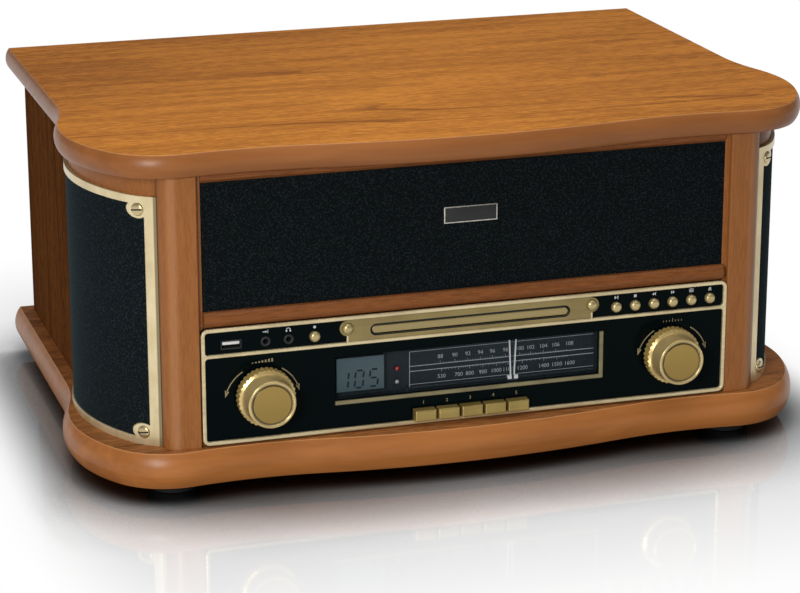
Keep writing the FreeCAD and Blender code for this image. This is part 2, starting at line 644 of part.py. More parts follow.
# Walls: side panels, curved corner panels with a flat baffle, grille cloths and trims.
outer = WALL.solid(BASE_TOP, S.wall_height)
clad = WALL.inset(S.clad).solid(BASE_TOP, S.wall_height)
inner = WALL.inset(INNER, 5).solid(BASE_TOP - 1, S.wall_height + 2)
GRILLE_BACK = FRONT + S.grille_back
CASS_Y = FRONT + S.cassette_set
CASS_Z = BASE_TOP + S.cassette_rise
STAY_Y = REAR + S.hinge_back
side_wall = common(cut(outer, inner), box(SIDE_IN - 1, GRILLE_BACK, BASE_TOP, FAR, REAR, WALL_TOP))
shell_y = S.cassette_long / 2 + S.shell_wall
shell_z = S.cassette_high / 2 + S.shell_wall
slot = box(SIDE_IN - 1, CASS_Y - shell_y - 0.2, CASS_Z - shell_z - 0.2, FAR, CASS_Y + shell_y + 0.2,
           CASS_Z + shell_z + 0.2)
EJECT_Y = CASS_Y + S.eject_along
EJECT_Z = CASS_Z - shell_z - S.bezel_foot / 2
eject_hole = box(SIDE_IN - 1, EJECT_Y - S.eject_long / 2 - 1, EJECT_Z - S.eject_high / 2 - 1, FAR,
                 EJECT_Y + S.eject_long / 2 + 1, EJECT_Z + S.eject_high / 2 + 1)
node("left_side_panel", mirror(side_wall))
node("right_side_panel", cut(side_wall, slot, eject_hole))

SLANT = -30
NORMAL = (math.cos(math.radians(SLANT)), math.sin(math.radians(SLANT)))


def on_baffle(out, along_wall):
    """Plan point at a distance along the baffle's normal and along its face, from the driver's middle."""
    x = WALL_HALF - S.baffle_in + out * NORMAL[0] - along_wall * NORMAL[1]
    y = FRONT + S.baffle_deep + out * NORMAL[1] + along_wall * NORMAL[0]
    return x, y


DRIVER_TURN = FreeCAD.Rotation(V(0, 0, 1), V(*NORMAL, 0))
DRIVER_X, DRIVER_Y = on_baffle(0, 0)
DRIVER_Z = BASE_TOP + S.driver_rise
corner_zone = box(POST_OUT, FRONT - FAR, BASE_TOP, FAR, GRILLE_BACK, WALL_TOP)
block = box(0, 0, 0, S.baffle_block, S.baffle_wide, S.wall_height)
block_x, block_y = on_baffle(0, S.baffle_wide / -2)
place(block, block_x, block_y, BASE_TOP, FreeCAD.Rotation(V(0, 0, 1), SLANT))
hole_x, hole_y = on_baffle(-S.baffle_block, 0)
hole = rod("z", 0, 0, 0, S.driver_radius - S.driver_hole_in, 2 * S.baffle_block)
place(hole, hole_x, hole_y, DRIVER_Z, DRIVER_TURN)
corner = cut(common(fuse(cut(clad, inner), common(clad, block)), corner_zone), hole)
node("corner_panels", group(corner, mirror(corner)))

TRIM_TOP = WALL_TOP - S.trim_top_gap
ring = cut(outer, WALL.inset(S.clad, 5).solid(BASE_TOP - 1, S.wall_height + 2))
TRIM_IN, TRIM_BACK = POST_OUT + S.trim_fit, GRILLE_BACK - S.trim_fit
frame_zone = box(TRIM_IN, FRONT - FAR, BASE_TOP, FAR, TRIM_BACK, TRIM_TOP)
cloth_zone = box(TRIM_IN + S.trim_post_bar, FRONT - FAR, BASE_TOP + S.trim_width, FAR,
                 TRIM_BACK - S.trim_width, TRIM_TOP - S.trim_width)
ears = []
for ear_z in (BASE_TOP + S.ear_rise, TRIM_TOP - S.ear_rise):
    ears.append(rod("y", POST_OUT + S.ear_in, FRONT - FAR, ear_z, S.ear_radius, FAR + S.baffle_block))
opening = cut(cloth_zone, *ears)
trim = cut(common(ring, frame_zone), opening)
node("corner_trims", group(trim, mirror(trim)))
cloth_ring = cut(WALL.inset(S.cloth_back, 5).solid(BASE_TOP, S.wall_height),
                 WALL.inset(S.clad, 9).solid(BASE_TOP - 1, S.wall_height + 2))
cloth = common(cloth_ring, opening)
node("corner_grilles", group(cloth, mirror(cloth)))

rim = S.driver_radius
driver = turned([(0, 0), (S.cap_radius, S.cap_rise), (rim - S.cone_in, 0),
                 (rim - S.surround_in, S.surround_rise), (rim - S.surround_out, S.surround_rise),
                 (rim - S.surround_out, 0), (rim, 0), (rim, -S.basket_rim),
                 (rim - S.driver_hole_in, -S.basket_step),
                 (S.basket_radius, -S.basket_deep), (S.magnet_radius, -S.basket_deep),
                 (S.magnet_radius, -S.magnet_deep), (0, -S.magnet_deep)])
place(driver, DRIVER_X, DRIVER_Y, DRIVER_Z, DRIVER_TURN)
node("speaker_drivers", group(driver, mirror(driver)))

# Rear panel with a row of vents and the fittings that sit in it.
back = new_body()
face = sketch_on(back, "XZ", -REAR_IN)
polygon(face, [(-SIDE_IN, BASE_TOP), (SIDE_IN, BASE_TOP), (SIDE_IN, WALL_TOP), (-SIDE_IN, WALL_TOP)])
pad(back, face, S.rear_thick, True)
VENT_Z = BASE_TOP + S.vent_rise
VENT_X = (S.vent_count - 1) * S.vent_pitch / -2
vent = sketch_on(back, "XZ", -REAR)
half_vent = S.vent_wide / 2
polygon(vent, [(VENT_X - half_vent, VENT_Z), (VENT_X + half_vent, VENT_Z),
               (VENT_X + half_vent, VENT_Z + S.vent_long), (VENT_X - half_vent, VENT_Z + S.vent_long)])
first_vent = pocket(back, vent)
row = back.newObject("PartDesign::LinearPattern", fresh("row"))
row.Originals = [first_vent]
row.Direction = (vent, ["H_Axis"])
row.Mode = "Spacing"
bind(row, "Offset", S.vent_pitch)
bind(row, "Occurrences", S.vent_count)
back.Tip = row
SOCKET_X, SOCKET_Z, GLAND_X = SIDE_IN - S.socket_in, BASE_TOP + S.socket_rise, S.gland_in - SIDE_IN
sockets = sketch_on(back, "XZ", -REAR)
SOCKETS = [(SOCKET_X + S.socket_pitch * a / 2, SOCKET_Z + S.socket_pitch * b / 2)
           for a in (-1, 1) for b in (-1, 1)]
for x, z in SOCKETS:
    circle(sockets, x, z, S.socket_radius + 0.6)
circle(sockets, GLAND_X, SOCKET_Z, S.gland_radius + 0.2)
pocket(back, sockets)
node("rear_panel", back)
tail, out = -S.rear_thick - S.tail_in, S.socket_out
bore, stem, rim = S.socket_bore, S.socket_radius, S.socket_flange
line_sockets = []
for x, z in SOCKETS:
    jack = turned([(0, tail), (stem, tail), (stem, 0), (rim, 0), (rim, S.socket_sheet),
                   (stem, S.socket_sheet), (stem, out), (bore, out), (bore, S.socket_floor),
                   (0, S.socket_floor)])
    line_sockets.append(place(jack, x, REAR, z, TURNS["y"]))
bore, stem, rim = S.gland_bore, S.gland_radius, S.gland_flange
gland = turned([(bore, tail), (stem, tail), (stem, 0), (rim, 0), (rim, 2), (stem - 0.3, S.gland_out),
                (bore, S.gland_out)])
place(gland, GLAND_X, REAR, SOCKET_Z, TURNS["y"])
node("rear_fittings", group(*line_sockets, gland))

# Front frame: two posts, top rail, moulded middle rail and the grille panel.
post = new_body()
plan = sketch_on(post, "XY", BASE_TOP)
STEP_Y = PANEL_BACK
polygon(plan, [(POST_IN, FRONT + S.post_front), (POST_OUT, FRONT + S.post_front),
               (POST_OUT, FRONT + S.post_back), (POST_IN - S.post_step, FRONT + S.post_back),
               (POST_IN - S.post_step, STEP_Y), (POST_IN, STEP_Y)])
pad(post, plan, S.wall_height)
edge_x, edge_y = POST_OUT.number, (FRONT + S.post_front).number
round_edges(post, along("z", lambda c: abs(c.x - edge_x) < 0.1 and abs(c.y - edge_y) < 0.1), S.post_round)
edge_in = POST_IN.number
round_edges(post, along("z", lambda c: abs(c.x - edge_in) < 0.1 and abs(c.y - edge_y) < 0.1), 0.8)
node("front_posts", group(post, mirror(post)))

STEP_IN = POST_IN - S.post_step
top_rail = new_body()
profile = sketch_on(top_rail, "YZ", -STEP_IN)
polygon(profile, [(FRONT + S.top_rail_set, CLOTH_TOP + 2), (FRONT + S.top_rail_set + 2, CLOTH_TOP),
                  (FRONT + S.rail_back, CLOTH_TOP), (FRONT + S.rail_back, WALL_TOP),
                  (FRONT + S.top_rail_set, WALL_TOP)])
pad(top_rail, profile, 2 * STEP_IN)
node("top_rail", top_rail)

mid_rail = new_body()
profile = sketch_on(mid_rail, "YZ", -STEP_IN)
bow_y = FRONT + S.mid_rail_bow
bow_h = S.mid_rail_height
bow = (bow_h * bow_h / 4 + S.mid_rail_bow * S.mid_rail_bow) / (2 * S.mid_rail_bow)
half = math.asin(bow_h.number / 2 / bow.number)
rail_y = FRONT + S.rail_back
corners = [(bow_y, MID_LOW), (rail_y, MID_LOW), (rail_y, CLOTH_LOW), (bow_y, CLOTH_LOW)]
for i in range(3):
    profile.addGeometry(Part.LineSegment(spot(corners[i]), spot(corners[i + 1])), False)
profile.addGeometry(arc(spot((bow_y - S.mid_rail_bow + bow, MID_LOW + bow_h / 2)), bow.number,
                        math.pi - half, math.pi + half), False)
profile.addConstraint([Sketcher.Constraint("Coincident", *ends) for ends in
                       ((0, 2, 1, 1), (1, 2, 2, 1), (2, 2, 3, 1), (3, 2, 0, 1))])
for i in range(3):
    pin(profile, i, 1, *corners[i])
pin(profile, 2, 2, *corners[3])
dimension(profile, "Radius", 3, bow)
pad(mid_rail, profile, 2 * STEP_IN)
node("middle_rail", mid_rail)

grille = new_body()
face = sketch_on(grille, "XZ", -(FRONT + S.cloth_set))
polygon(face, [(-STEP_IN, CLOTH_LOW), (STEP_IN, CLOTH_LOW), (STEP_IN, CLOTH_TOP), (-STEP_IN, CLOTH_TOP)])
pad(grille, face, S.cloth_thick, True)
node("front_grille", grille)

# Fascia: gilt frame with a divider bar, and the black panel behind it with every cut-out.
frame = new_body()
face = sketch_on(frame, "XZ", -FRONT)
round_rectangle(face, -S.fascia_half, FASCIA_LOW, S.fascia_half, FASCIA_TOP, S.trim_radius)
pad(frame, face, S.trim_thick, True)
IN_X = S.fascia_half - S.trim_bar
STRIP_LOW = DIVIDER_Z + S.divider_bar / 2
STRIP_TOP = FASCIA_TOP - S.trim_bar
LOWER_TOP = DIVIDER_Z - S.divider_bar / 2
LOWER_LOW = FASCIA_LOW + S.trim_bar
openings = sketch_on(frame, "XZ", -FRONT)
round_rectangle(openings, -IN_X, STRIP_LOW, IN_X, STRIP_TOP, S.trim_radius - S.trim_bar)
round_rectangle(openings, -IN_X, LOWER_LOW, IN_X, LOWER_TOP, S.trim_radius - S.trim_bar)
pocket(frame, openings)
front_y = FRONT.number
round_edges(frame, lambda e: abs(e.BoundBox.YMax - front_y) < 1e-4, 0.5)
node("fascia_trim", frame)

LOBE_X = STUD_X + S.stud_lobe
SPARE = S.fascia_half - LOBE_X
BUTTON_SHARES = [0.14 + 0.1465 * k for k in range(6)]
BUTTON_X = [LOBE_X + SPARE * share for share in BUTTON_SHARES] + [-(LOBE_X + SPARE * 0.18)]
PHONES_X, AUX_X, USB_X = [-(LOBE_X + SPARE * share) for share in (0.37, 0.537, 0.783)]
KEY_X = [S.key_pitch * k for k in (-2, -1, 0, 1, 2)]
TRAY_R = S.tray_pill + S.tray_gap
panel = new_body()
face = sketch_on(panel, "XZ", -PANEL_Y)
round_rectangle(face, -S.fascia_half, FASCIA_LOW, S.fascia_half, FASCIA_TOP, S.trim_radius)
pad(panel, face, S.panel_thick, True)
holes = sketch_on(panel, "XZ", -PANEL_Y)
for x in BUTTON_X:
    circle(holes, x, STRIP_Z, S.button_radius + S.button_fit)
for x in (AUX_X, PHONES_X):
    circle(holes, x, STRIP_Z, S.jack_radius)
for sign in (-1, 1):
    circle(holes, KNOB_X * sign, KNOB_Z, S.shaft_radius + 2)
pill(holes, -(S.tray_half - S.tray_pill), S.tray_half - S.tray_pill, TRAY_Z, TRAY_R)
usb_w, usb_h = S.usb_wide / 2, S.usb_high / 2
rectangles = [(WINDOW_LEFT, WINDOW_LOW, WINDOW_RIGHT, WINDOW_TOP),
              (USB_X - usb_w, STRIP_Z - usb_h, USB_X + usb_w, STRIP_Z + usb_h)]
key_w, key_h = S.key_wide / 2 + S.key_fit, S.key_high / 2 + S.key_fit
for x in KEY_X:
    rectangles.append((x - key_w, KEY_Z - key_h, x + key_w, KEY_Z + key_h))
for x0, z0, x1, z1 in rectangles:
    polygon(holes, [(x0, z0), (x1, z0), (x1, z1), (x0, z1)])
pocket(panel, holes)
node("fascia_panel", panel)

# Disc escutcheon with its two domed studs, and the pill-fronted tray that runs through it.
PLATE_Y = PANEL_Y - S.plate_thick
STUD_Z = FASCIA_LOW + S.stud_rise
sheet_plate = fuse(box(-STUD_X, PLATE_Y, STRIP_LOW, STUD_X, PANEL_Y, STRIP_TOP),
                   rod("y", -STUD_X, PLATE_Y, STUD_Z, S.stud_lobe, S.plate_thick),
                   rod("y", STUD_X, PLATE_Y, STUD_Z, S.stud_lobe, S.plate_thick))
sheet_plate = common(sheet_plate, box(-FAR, PLATE_Y - OVER, STRIP_LOW + S.plate_fit, FAR, PANEL_Y + OVER,
                                      STRIP_TOP - S.plate_fit))


def pill_block(x, z, radius, y0, y1):
    return fuse(box(-x, y0, z - radius, x, y1, z + radius), rod("y", -x, y0, z, radius, lift(y1) - y0),
                rod("y", x, y0, z, radius, lift(y1) - y0))


PILL_X = S.tray_half - S.tray_pill
studs = []
for sign in (-1, 1):
    stud = turned([(0, -S.stud_root), (S.stud_radius, -S.stud_root), (S.stud_radius, S.stud_proud),
                   (0, S.stud_proud)])
    round_edges(stud, rim_at(S.stud_radius, S.stud_proud), S.stud_round)
    studs.append(place(stud, STUD_X * sign, PLATE_Y, STUD_Z, TURNS["front"]))
tray_hole = pill_block(PILL_X, TRAY_Z, TRAY_R, PLATE_Y - OVER, PANEL_Y + OVER)
node("disc_escutcheon", fuse(cut(sheet_plate, tray_hole), *studs))

TRAY_FACE = PLATE_Y + S.tray_sunk
tray_front = new_body()
face = sketch_on(tray_front, "XZ", -TRAY_FACE)
pill(face, -PILL_X, PILL_X, TRAY_Z, S.tray_pill)
pad(tray_front, face, S.tray_front, True)
round_edges(tray_front, lambda e: abs(e.BoundBox.YMax - TRAY_FACE.number) < 1e-4, S.tray_edge)
TRAY_BACK = FRONT + S.tray_depth
DISC_Y = PANEL_Y + S.disc_front + S.disc_radius
TRAY_LOW = TRAY_Z - S.tray_thick / 2
TRAY_TOP = TRAY_Z + S.tray_thick / 2
DISC_Z = TRAY_TOP - S.disc_sink
tray_plate = box(-S.tray_plate_half, PANEL_Y + S.tray_lap, TRAY_LOW, S.tray_plate_half, TRAY_BACK, TRAY_TOP)
tray = cut(tray_plate, rod("z", 0, DISC_Y, DISC_Z, S.disc_radius, S.tray_thick),
           rod("z", 0, DISC_Y, DISC_Z - S.single_sink, S.single_radius, S.tray_thick),
           box(-S.hub_slot, DISC_Y, TRAY_LOW - OVER, S.hub_slot, TRAY_BACK + OVER, TRAY_TOP + OVER),
           rod("z", 0, DISC_Y, TRAY_LOW - OVER, S.hub_slot, 2 * S.tray_thick))
node("disc_tray", fuse(tray_front, tray))

RAIL_IN = S.tray_plate_half + S.mech_gap
RAIL_OUT = RAIL_IN + S.mech_rail
MECH_LOW = TRAY_LOW - S.mech_drop
MECH_FRONT, MECH_BACK = FRONT + S.mech_front, TRAY_BACK + S.mech_back
BRIDGE_LOW = TRAY_TOP + S.bridge_rise
MECH_TOP = BRIDGE_LOW + S.mech_sheet
mech_parts = [box(-RAIL_OUT, MECH_FRONT, MECH_LOW, RAIL_OUT, MECH_BACK, MECH_LOW + S.mech_sheet),
              rod("z", 0, DISC_Y, MECH_LOW, S.drive_radius, S.drive_high),
              rod("z", 0, DISC_Y, MECH_LOW, S.disc_hub, S.disc_hub_high),
              box(-RAIL_OUT, DISC_Y - S.clamp_radius, BRIDGE_LOW, RAIL_OUT, DISC_Y + S.clamp_radius,
                  MECH_TOP),
              rod("z", 0, DISC_Y, TRAY_TOP + S.clamp_gap, S.clamp_radius, S.clamp_high)]
leg_high = MECH_LOW - BASE_TOP + OVER
for sign in (-1, 1):
    low_x, high_x = sorted((RAIL_IN * sign, RAIL_OUT * sign), key=lambda end: end.number)
    mech_parts.append(box(low_x, MECH_FRONT, MECH_LOW, high_x, MECH_BACK, MECH_TOP))
    for leg_y in (MECH_FRONT + S.mech_leg_in, MECH_BACK - S.mech_leg_in):
        leg_x = (RAIL_IN + RAIL_OUT) / 2 * sign
        mech_parts.append(rod("z", leg_x, leg_y, BASE_TOP, S.mech_leg, leg_high))
node("disc_mechanism", fuse(*mech_parts))

# Dial: tray-shaped scale, display block with lamps, clear window, gilt strip and sliding pointer.
DIAL_X0, DIAL_X1 = WINDOW_LEFT - S.dial_rim, WINDOW_RIGHT + S.dial_rim
DIAL_Z0, DIAL_Z1 = WINDOW_LOW - S.dial_rim, WINDOW_TOP + S.dial_rim
DIAL_Y = PANEL_BACK + S.dial_depth
DISPLAY_X0 = WINDOW_LEFT + S.display_in
DISPLAY_X1 = DISPLAY_X0 + S.display_wide
DISPLAY_Z1 = WINDOW_TOP - S.display_drop
DISPLAY_Z0 = DISPLAY_Z1 - S.display_high
DISPLAY_BACK = DIAL_Y + S.module_deep
scale = cut(box(DIAL_X0, PANEL_BACK, DIAL_Z0, DIAL_X1, DIAL_Y, DIAL_Z1),
            box(WINDOW_LEFT, PANEL_BACK - OVER, WINDOW_LOW, WINDOW_RIGHT, DIAL_Y - S.dial_plate, WINDOW_TOP),
            box(DISPLAY_X0 - S.screen_fit, PANEL_BACK - OVER, DISPLAY_Z0 - S.screen_fit,
                DISPLAY_X1 + S.screen_fit, DIAL_Y + OVER, DISPLAY_Z1 + S.screen_fit))
GUIDE_X = LAMP_X + S.guide_in
GUIDE_Y, GUIDE_Z = PANEL_BACK + S.guide_deep, WINDOW_LOW + S.guide_rise
guide = rod("x", GUIDE_X, GUIDE_Y, GUIDE_Z, S.guide_radius, WINDOW_RIGHT - GUIDE_X)
guide_end = mid_box(GUIDE_X, GUIDE_Y - 1, GUIDE_Z, 2, DIAL_Y - S.dial_plate, 2 * S.guide_rise)
LAMP_Z = [WINDOW_LOW + S.lamp_rise, WINDOW_LOW + S.lamp_rise - S.lamp_pitch]
LAMP_Y = PANEL_BACK + S.lamp_deep
lamp_holes = [rod("y", LAMP_X, PANEL_BACK, z, S.lamp_radius + S.lamp_fit, 2 * S.dial_depth) for z in LAMP_Z]
node("dial_scale", cut(fuse(scale, guide, guide_end), *lamp_holes))
lamp_rods = [rod("y", LAMP_X, LAMP_Y, z, S.lamp_radius, DISPLAY_BACK - LAMP_Y - 1) for z in LAMP_Z]
module_board = box(DISPLAY_X0 - S.module_left, DIAL_Y + S.window_fit, DISPLAY_Z0 - S.module_low,
                   LAMP_X + S.module_right, DISPLAY_BACK, DISPLAY_Z1 + S.module_top)
screen = box(DISPLAY_X0, PANEL_BACK + S.screen_sunk, DISPLAY_Z0, DISPLAY_X1, DISPLAY_BACK, DISPLAY_Z1)
node("display_module", fuse(screen, module_board, *lamp_rods))
glass = S.window_fit
GLASS_Y = PANEL_Y + S.glass_sunk
node("dial_window", box(WINDOW_LEFT + glass, GLASS_Y, WINDOW_LOW + glass, WINDOW_RIGHT - glass,
                        GLASS_Y + S.glass_thick, WINDOW_TOP - glass))
strip = new_body()
face = sketch_on(strip, "XZ", -PANEL_Y)
wide = S.strip_wide
polygon(face, [(WINDOW_LEFT, WINDOW_LOW - wide), (WINDOW_RIGHT + wide, WINDOW_LOW - wide),
               (WINDOW_RIGHT + wide, WINDOW_TOP), (WINDOW_RIGHT, WINDOW_TOP),
               (WINDOW_RIGHT, WINDOW_LOW), (WINDOW_LEFT, WINDOW_LOW)])
pad(strip, face, S.bezel_strip)
node("dial_bezel", strip)
blade = new_body()
face = sketch_on(blade, "XZ", -(GUIDE_Y - S.blade_thick / 2))
foot, tip = S.pointer_foot / 2, S.pointer_wide / 2
blade_top = WINDOW_TOP - S.blade_gap
polygon(face, [(POINTER_X - foot, GUIDE_Z), (POINTER_X + foot, GUIDE_Z), (POINTER_X + tip, blade_top),
               (POINTER_X - tip, blade_top)])
pad(blade, face, S.blade_thick, True)
carriage = mid_box(POINTER_X, GUIDE_Y - S.slider_deep / 2, GUIDE_Z + S.slider_lift, S.slider_long,
                   GUIDE_Y + S.slider_deep / 2, S.slider_high)
bore = rod("x", POINTER_X - S.slider_long, GUIDE_Y, GUIDE_Z, S.guide_radius + S.guide_fit, 2 * S.slider_long)
node("dial_pointer", cut(fuse(blade, carriage), bore))

# Knobs: turned, with a ring of flutes cut round the skirt, each on its own control's shaft.
GAP = S.knob_gap
FACE = S.knob_proud
REACH = GAP + S.shaft_grip


def knob(x):
    cap, disc = S.knob_cap, S.knob_cap - S.bead - S.groove_wide
    hole, skirt = S.shaft_radius + S.shaft_fit, GAP + S.skirt_depth
    sunk = FACE - S.disc_sunk
    body = turned([(hole, GAP), (S.knob_radius, GAP), (S.knob_radius, skirt),
                   (cap + S.skirt_step, skirt + S.skirt_rise), (cap, FACE - S.bead), (cap, FACE),
                   (cap - S.bead, FACE), (cap - S.bead, FACE - S.groove),
                   (disc + S.disc_edge, FACE - S.groove), (disc, sunk), (0, sunk), (0, REACH), (hole, REACH)])
    round_edges(body, rim_at(cap, FACE), S.bead_round)
    round_edges(body, rim_at(cap - S.bead, FACE), S.bead_round)
    flute = sketch_on(body, "XY", GAP - 0.5)
    circle(flute, S.knob_radius + S.flute_radius * 0.45, 0, S.flute_radius)
    cutter = feature(body, "Pocket", flute, Length=S.skirt_depth + 1.5, Reversed=True)
    ring_of = body.newObject("PartDesign::PolarPattern", fresh("ring"))
    ring_of.Originals = [cutter]
    ring_of.Axis = (flute, ["N_Axis"])
    ring_of.Angle = 360
    bind(ring_of, "Occurrences", S.flute_count)
    body.Tip = ring_of
    return place(body, x, FRONT, KNOB_Z, TURNS["front"])


node("volume_knob", knob(-KNOB_X))
node("tuning_knob", knob(KNOB_X))
pots = []
for sign in (-1, 1):
    x = KNOB_X * sign
    shaft_y = FRONT - REACH + S.shaft_short
    shaft = rod("y", x, shaft_y, KNOB_Z, S.shaft_radius, PANEL_BACK - shaft_y + OVER + S.shaft_short)
    tab = box(x - S.pot_tab / 2, PANEL_BACK, KNOB_Z - S.pot_tab, x + S.pot_tab / 2, PANEL_BACK + S.pot_sheet,
              KNOB_Z - S.pot_tab_top)
    pots.append(fuse(shaft, rod("y", x, PANEL_BACK, KNOB_Z, S.pot_radius, S.pot_deep), tab))
node("control_pots", group(*pots))

# Round buttons in the upper strip.
BUTTON_NAMES = ["play_button", "stop_button", "previous_button", "next_button", "program_button",
                "tray_button", "record_button"]
for label, x in zip(BUTTON_NAMES, BUTTON_X):
    r = S.button_radius
    stem, tail, shoulder = r - S.button_step, -S.button_tail, -S.button_body
    button = turned([(0, tail), (stem, tail), (stem, shoulder), (r, shoulder), (r, S.button_proud),
                     (0, S.button_proud)])
    round_edges(button, rim_at(r, S.button_proud), S.button_round)
    node(label, place(button, x, PANEL_Y, STRIP_Z, TURNS["front"]))

# Piano keys under the dial: a side profile padded across, on a thin stem.
KEY_NAMES = ["tuner_key", "disc_key", "tape_key", "phono_key", "tone_key"]
for label, x in zip(KEY_NAMES, KEY_X):
    key = new_body()
    side = sketch_on(key, "YZ", -S.key_wide / 2)
    y0, h = FRONT - S.key_proud, S.key_high / 2
    y1, y2 = PANEL_BACK + S.key_block, PANEL_BACK + S.key_stem
    polygon(side, [(y0, -h), (y1, -h), (y1, -h / 2), (y2, -h / 2), (y2, h / 2), (y1, h / 2), (y1, h),
                   (y0, h)])
    pad(key, side, lift(S.key_wide))
    nose_y = y0.number
    round_edges(key, lambda e: abs(e.BoundBox.YMax - nose_y) < 1e-4, S.key_round)
    node(label, place(key, x, 0, KEY_Z))

# Front sockets: a charging and memory port with its tongue, and two sleeve jacks.
usb_back = PANEL_Y + S.usb_depth
port = cut(mid_box(USB_X, PANEL_Y - S.usb_lip, STRIP_Z, S.usb_wide, usb_back, S.usb_high),
           mid_box(USB_X, PANEL_Y - 2, STRIP_Z, S.usb_wide - 2 * S.usb_wall, usb_back - S.usb_end,
                   S.usb_high - 2 * S.usb_wall))
tongue = mid_box(USB_X, PANEL_Y + 1, STRIP_Z + S.tongue_rise, S.usb_wide - 2, usb_back - 1, S.tongue_high)
front_sockets = [fuse(port, tongue)]
lip = S.jack_proud
for x in (AUX_X, PHONES_X):
    jack_end = -S.jack_depth - S.usb_end
    jack = turned([(S.jack_bore, lip), (S.jack_radius, lip), (S.jack_radius, -S.panel_thick),
                   (S.jack_body, -S.panel_thick), (S.jack_body, jack_end), (0, jack_end),
                   (0, lip - S.jack_depth), (S.jack_bore, lip - S.jack_depth)])
    front_sockets.append(place(jack, x, PANEL_Y, STRIP_Z, TURNS["front"]))
node("front_sockets", group(*front_sockets))

# Deck: plate shaped to the walls, with the bearing boss, arm base, arm rest and the stay's slot.
DECK = WALL.inset(INNER + S.deck_fit, 5)
deck_half = DECK.solid(DECK_LOW, S.deck_thick)
REAR_EDGE = REAR_IN - S.deck_fit
deck_zone = box(-FAR, FRONT + S.post_back + S.deck_fit, DECK_LOW - 1, FAR, REAR_EDGE, DECK_TOP + 1)
front_lip = box(-STEP_IN + S.deck_fit, FRONT + S.cloth_set + S.cloth_thick + S.deck_fit, DECK_LOW,
                STEP_IN - S.deck_fit, FRONT + S.post_back + 1, DECK_TOP)
PLATTER_Y = FRONT + S.platter_set
ARM_X, ARM_Y = SIDE_IN - S.arm_in, REAR_IN - S.arm_back
ARM_LENGTH = ARM_Y - FRONT - S.head_set
CUE_X, SPEED_X = SIDE_IN - S.cue_in, SIDE_IN - S.speed_in
ARM_Z = DECK_TOP + S.arm_rise
PULLEY_X, PULLEY_Y = S.pulley_x, FRONT + S.pulley_set
REST_Y = ARM_Y - S.rest_along
rest_front, rest_back = REST_Y - S.rest_half, REST_Y + S.rest_half
cradle = S.arm_radius + S.rest_fit
rest = cut(mid_box(ARM_X, rest_front, (DECK_TOP + ARM_Z) / 2, S.rest_wide, rest_back, S.arm_rise),
           rod("y", ARM_X, rest_front - OVER, ARM_Z, cradle, 2 * (S.rest_half + OVER)),
           box(ARM_X - S.rest_wide, rest_front - OVER, ARM_Z - cradle, ARM_X, rest_back + OVER,
               ARM_Z + cradle))
STAY_A = arcsine(S.stay_hang / S.stay_reach)
STAY_B = arcsine(S.stay_drop / S.stay_reach)
hang, drop, reach = S.stay_hang, S.stay_drop, S.stay_reach
LIFT_Y = STAY_Y - root(reach * reach - hang * hang)
REST_PIN_Y = STAY_Y - root(reach * reach - drop * drop)
LIFT_Z, REST_PIN_Z = LID_LOW - hang, LID_LOW - drop
STAY_X = -SIDE_IN + S.stay_set
stay_slot = box(-FAR, LIFT_Y - S.slot_front, DECK_LOW - OVER, STAY_X + S.stay_thick + S.slot_room,
                LIFT_Y + S.slot_back, DECK_TOP + OVER)


def deck_bore(x, y, radius):
    """A hole right through the deck and whatever stands on it there."""
    deep = S.boss_deep + S.deck_thick + S.collar + 2 * OVER
    return rod("z", x, y, DECK_LOW - S.boss_deep - OVER, radius, deep)


speed_y, cue_y = FRONT + S.speed_set, FRONT + S.cue_set
deck = fuse(common(fuse(deck_half, mirror(deck_half)), deck_zone), front_lip, rest,
            rod("z", S.platter_x, PLATTER_Y, DECK_LOW - S.boss_deep, S.bearing_boss, S.boss_deep + OVER),
            rod("z", ARM_X, ARM_Y, DECK_LOW, S.yoke_radius + S.collar, S.deck_thick + S.collar))
deck = cut(deck, stay_slot, block, mirror(block), deck_bore(ARM_X, ARM_Y, S.arm_post + S.yoke_fit),
           deck_bore(S.platter_x, PLATTER_Y, S.spindle_bearing),
           deck_bore(PULLEY_X, PULLEY_Y, S.pulley_radius + S.collar),
           deck_bore(SPEED_X, speed_y, S.lever_pin + S.lever_fit))
CUE_Z = DECK_TOP + S.cue_rise
cue_ears = []
for near_x, far_x in ((-S.cue_ear, -S.cue_slot), (S.cue_slot, S.cue_ear)):
    cue_ears.append(box(CUE_X + near_x, cue_y - S.cue_ear_half, DECK_TOP - OVER, CUE_X + far_x,
                        cue_y + S.cue_ear_half, CUE_Z + S.cue_ear_half))
cue_post = cut(fuse(*cue_ears), rod("x", CUE_X - S.cue_ear - OVER, cue_y, CUE_Z, S.cue_pin + S.lever_fit,
                                    2 * (S.cue_ear + OVER)))
node("deck_plate", fuse(deck, cue_post))

# Platter, mat, spindle, belt and motor.
PLATTER_TOP = DECK_TOP + S.platter_height
bore = S.spindle_bearing + S.spindle_fit
low = -S.platter_thick - S.rim_deep
under, lip = -S.platter_thick, -S.platter_thick - S.platter_lip
rim_in, lip_in = S.rim_radius - S.rim_wall, S.platter_radius - S.rim_wall
platter = turned([(bore, 0), (S.platter_radius, 0), (S.platter_radius, lip), (lip_in, lip),
                  (lip_in - 1, under), (S.rim_radius, under), (S.rim_radius, low), (rim_in, low),
                  (rim_in, under),
                  (S.hub_radius, under), (S.hub_radius, low), (bore, low)])
round_edges(platter, rim_at(S.platter_radius, 0), S.platter_round)
node("platter", place(platter, S.platter_x, PLATTER_Y, PLATTER_TOP))
label_z = S.mat_thick - S.label_sink
mat = turned([(bore + 1, 0), (S.mat_radius, 0), (S.mat_radius, S.mat_thick), (S.label_radius, S.mat_thick),
              (S.label_radius - 1, label_z), (bore + 1, label_z)])
node("platter_mat", place(mat, S.platter_x, PLATTER_Y, PLATTER_TOP))
r, bearing = S.spindle_radius, S.spindle_bearing
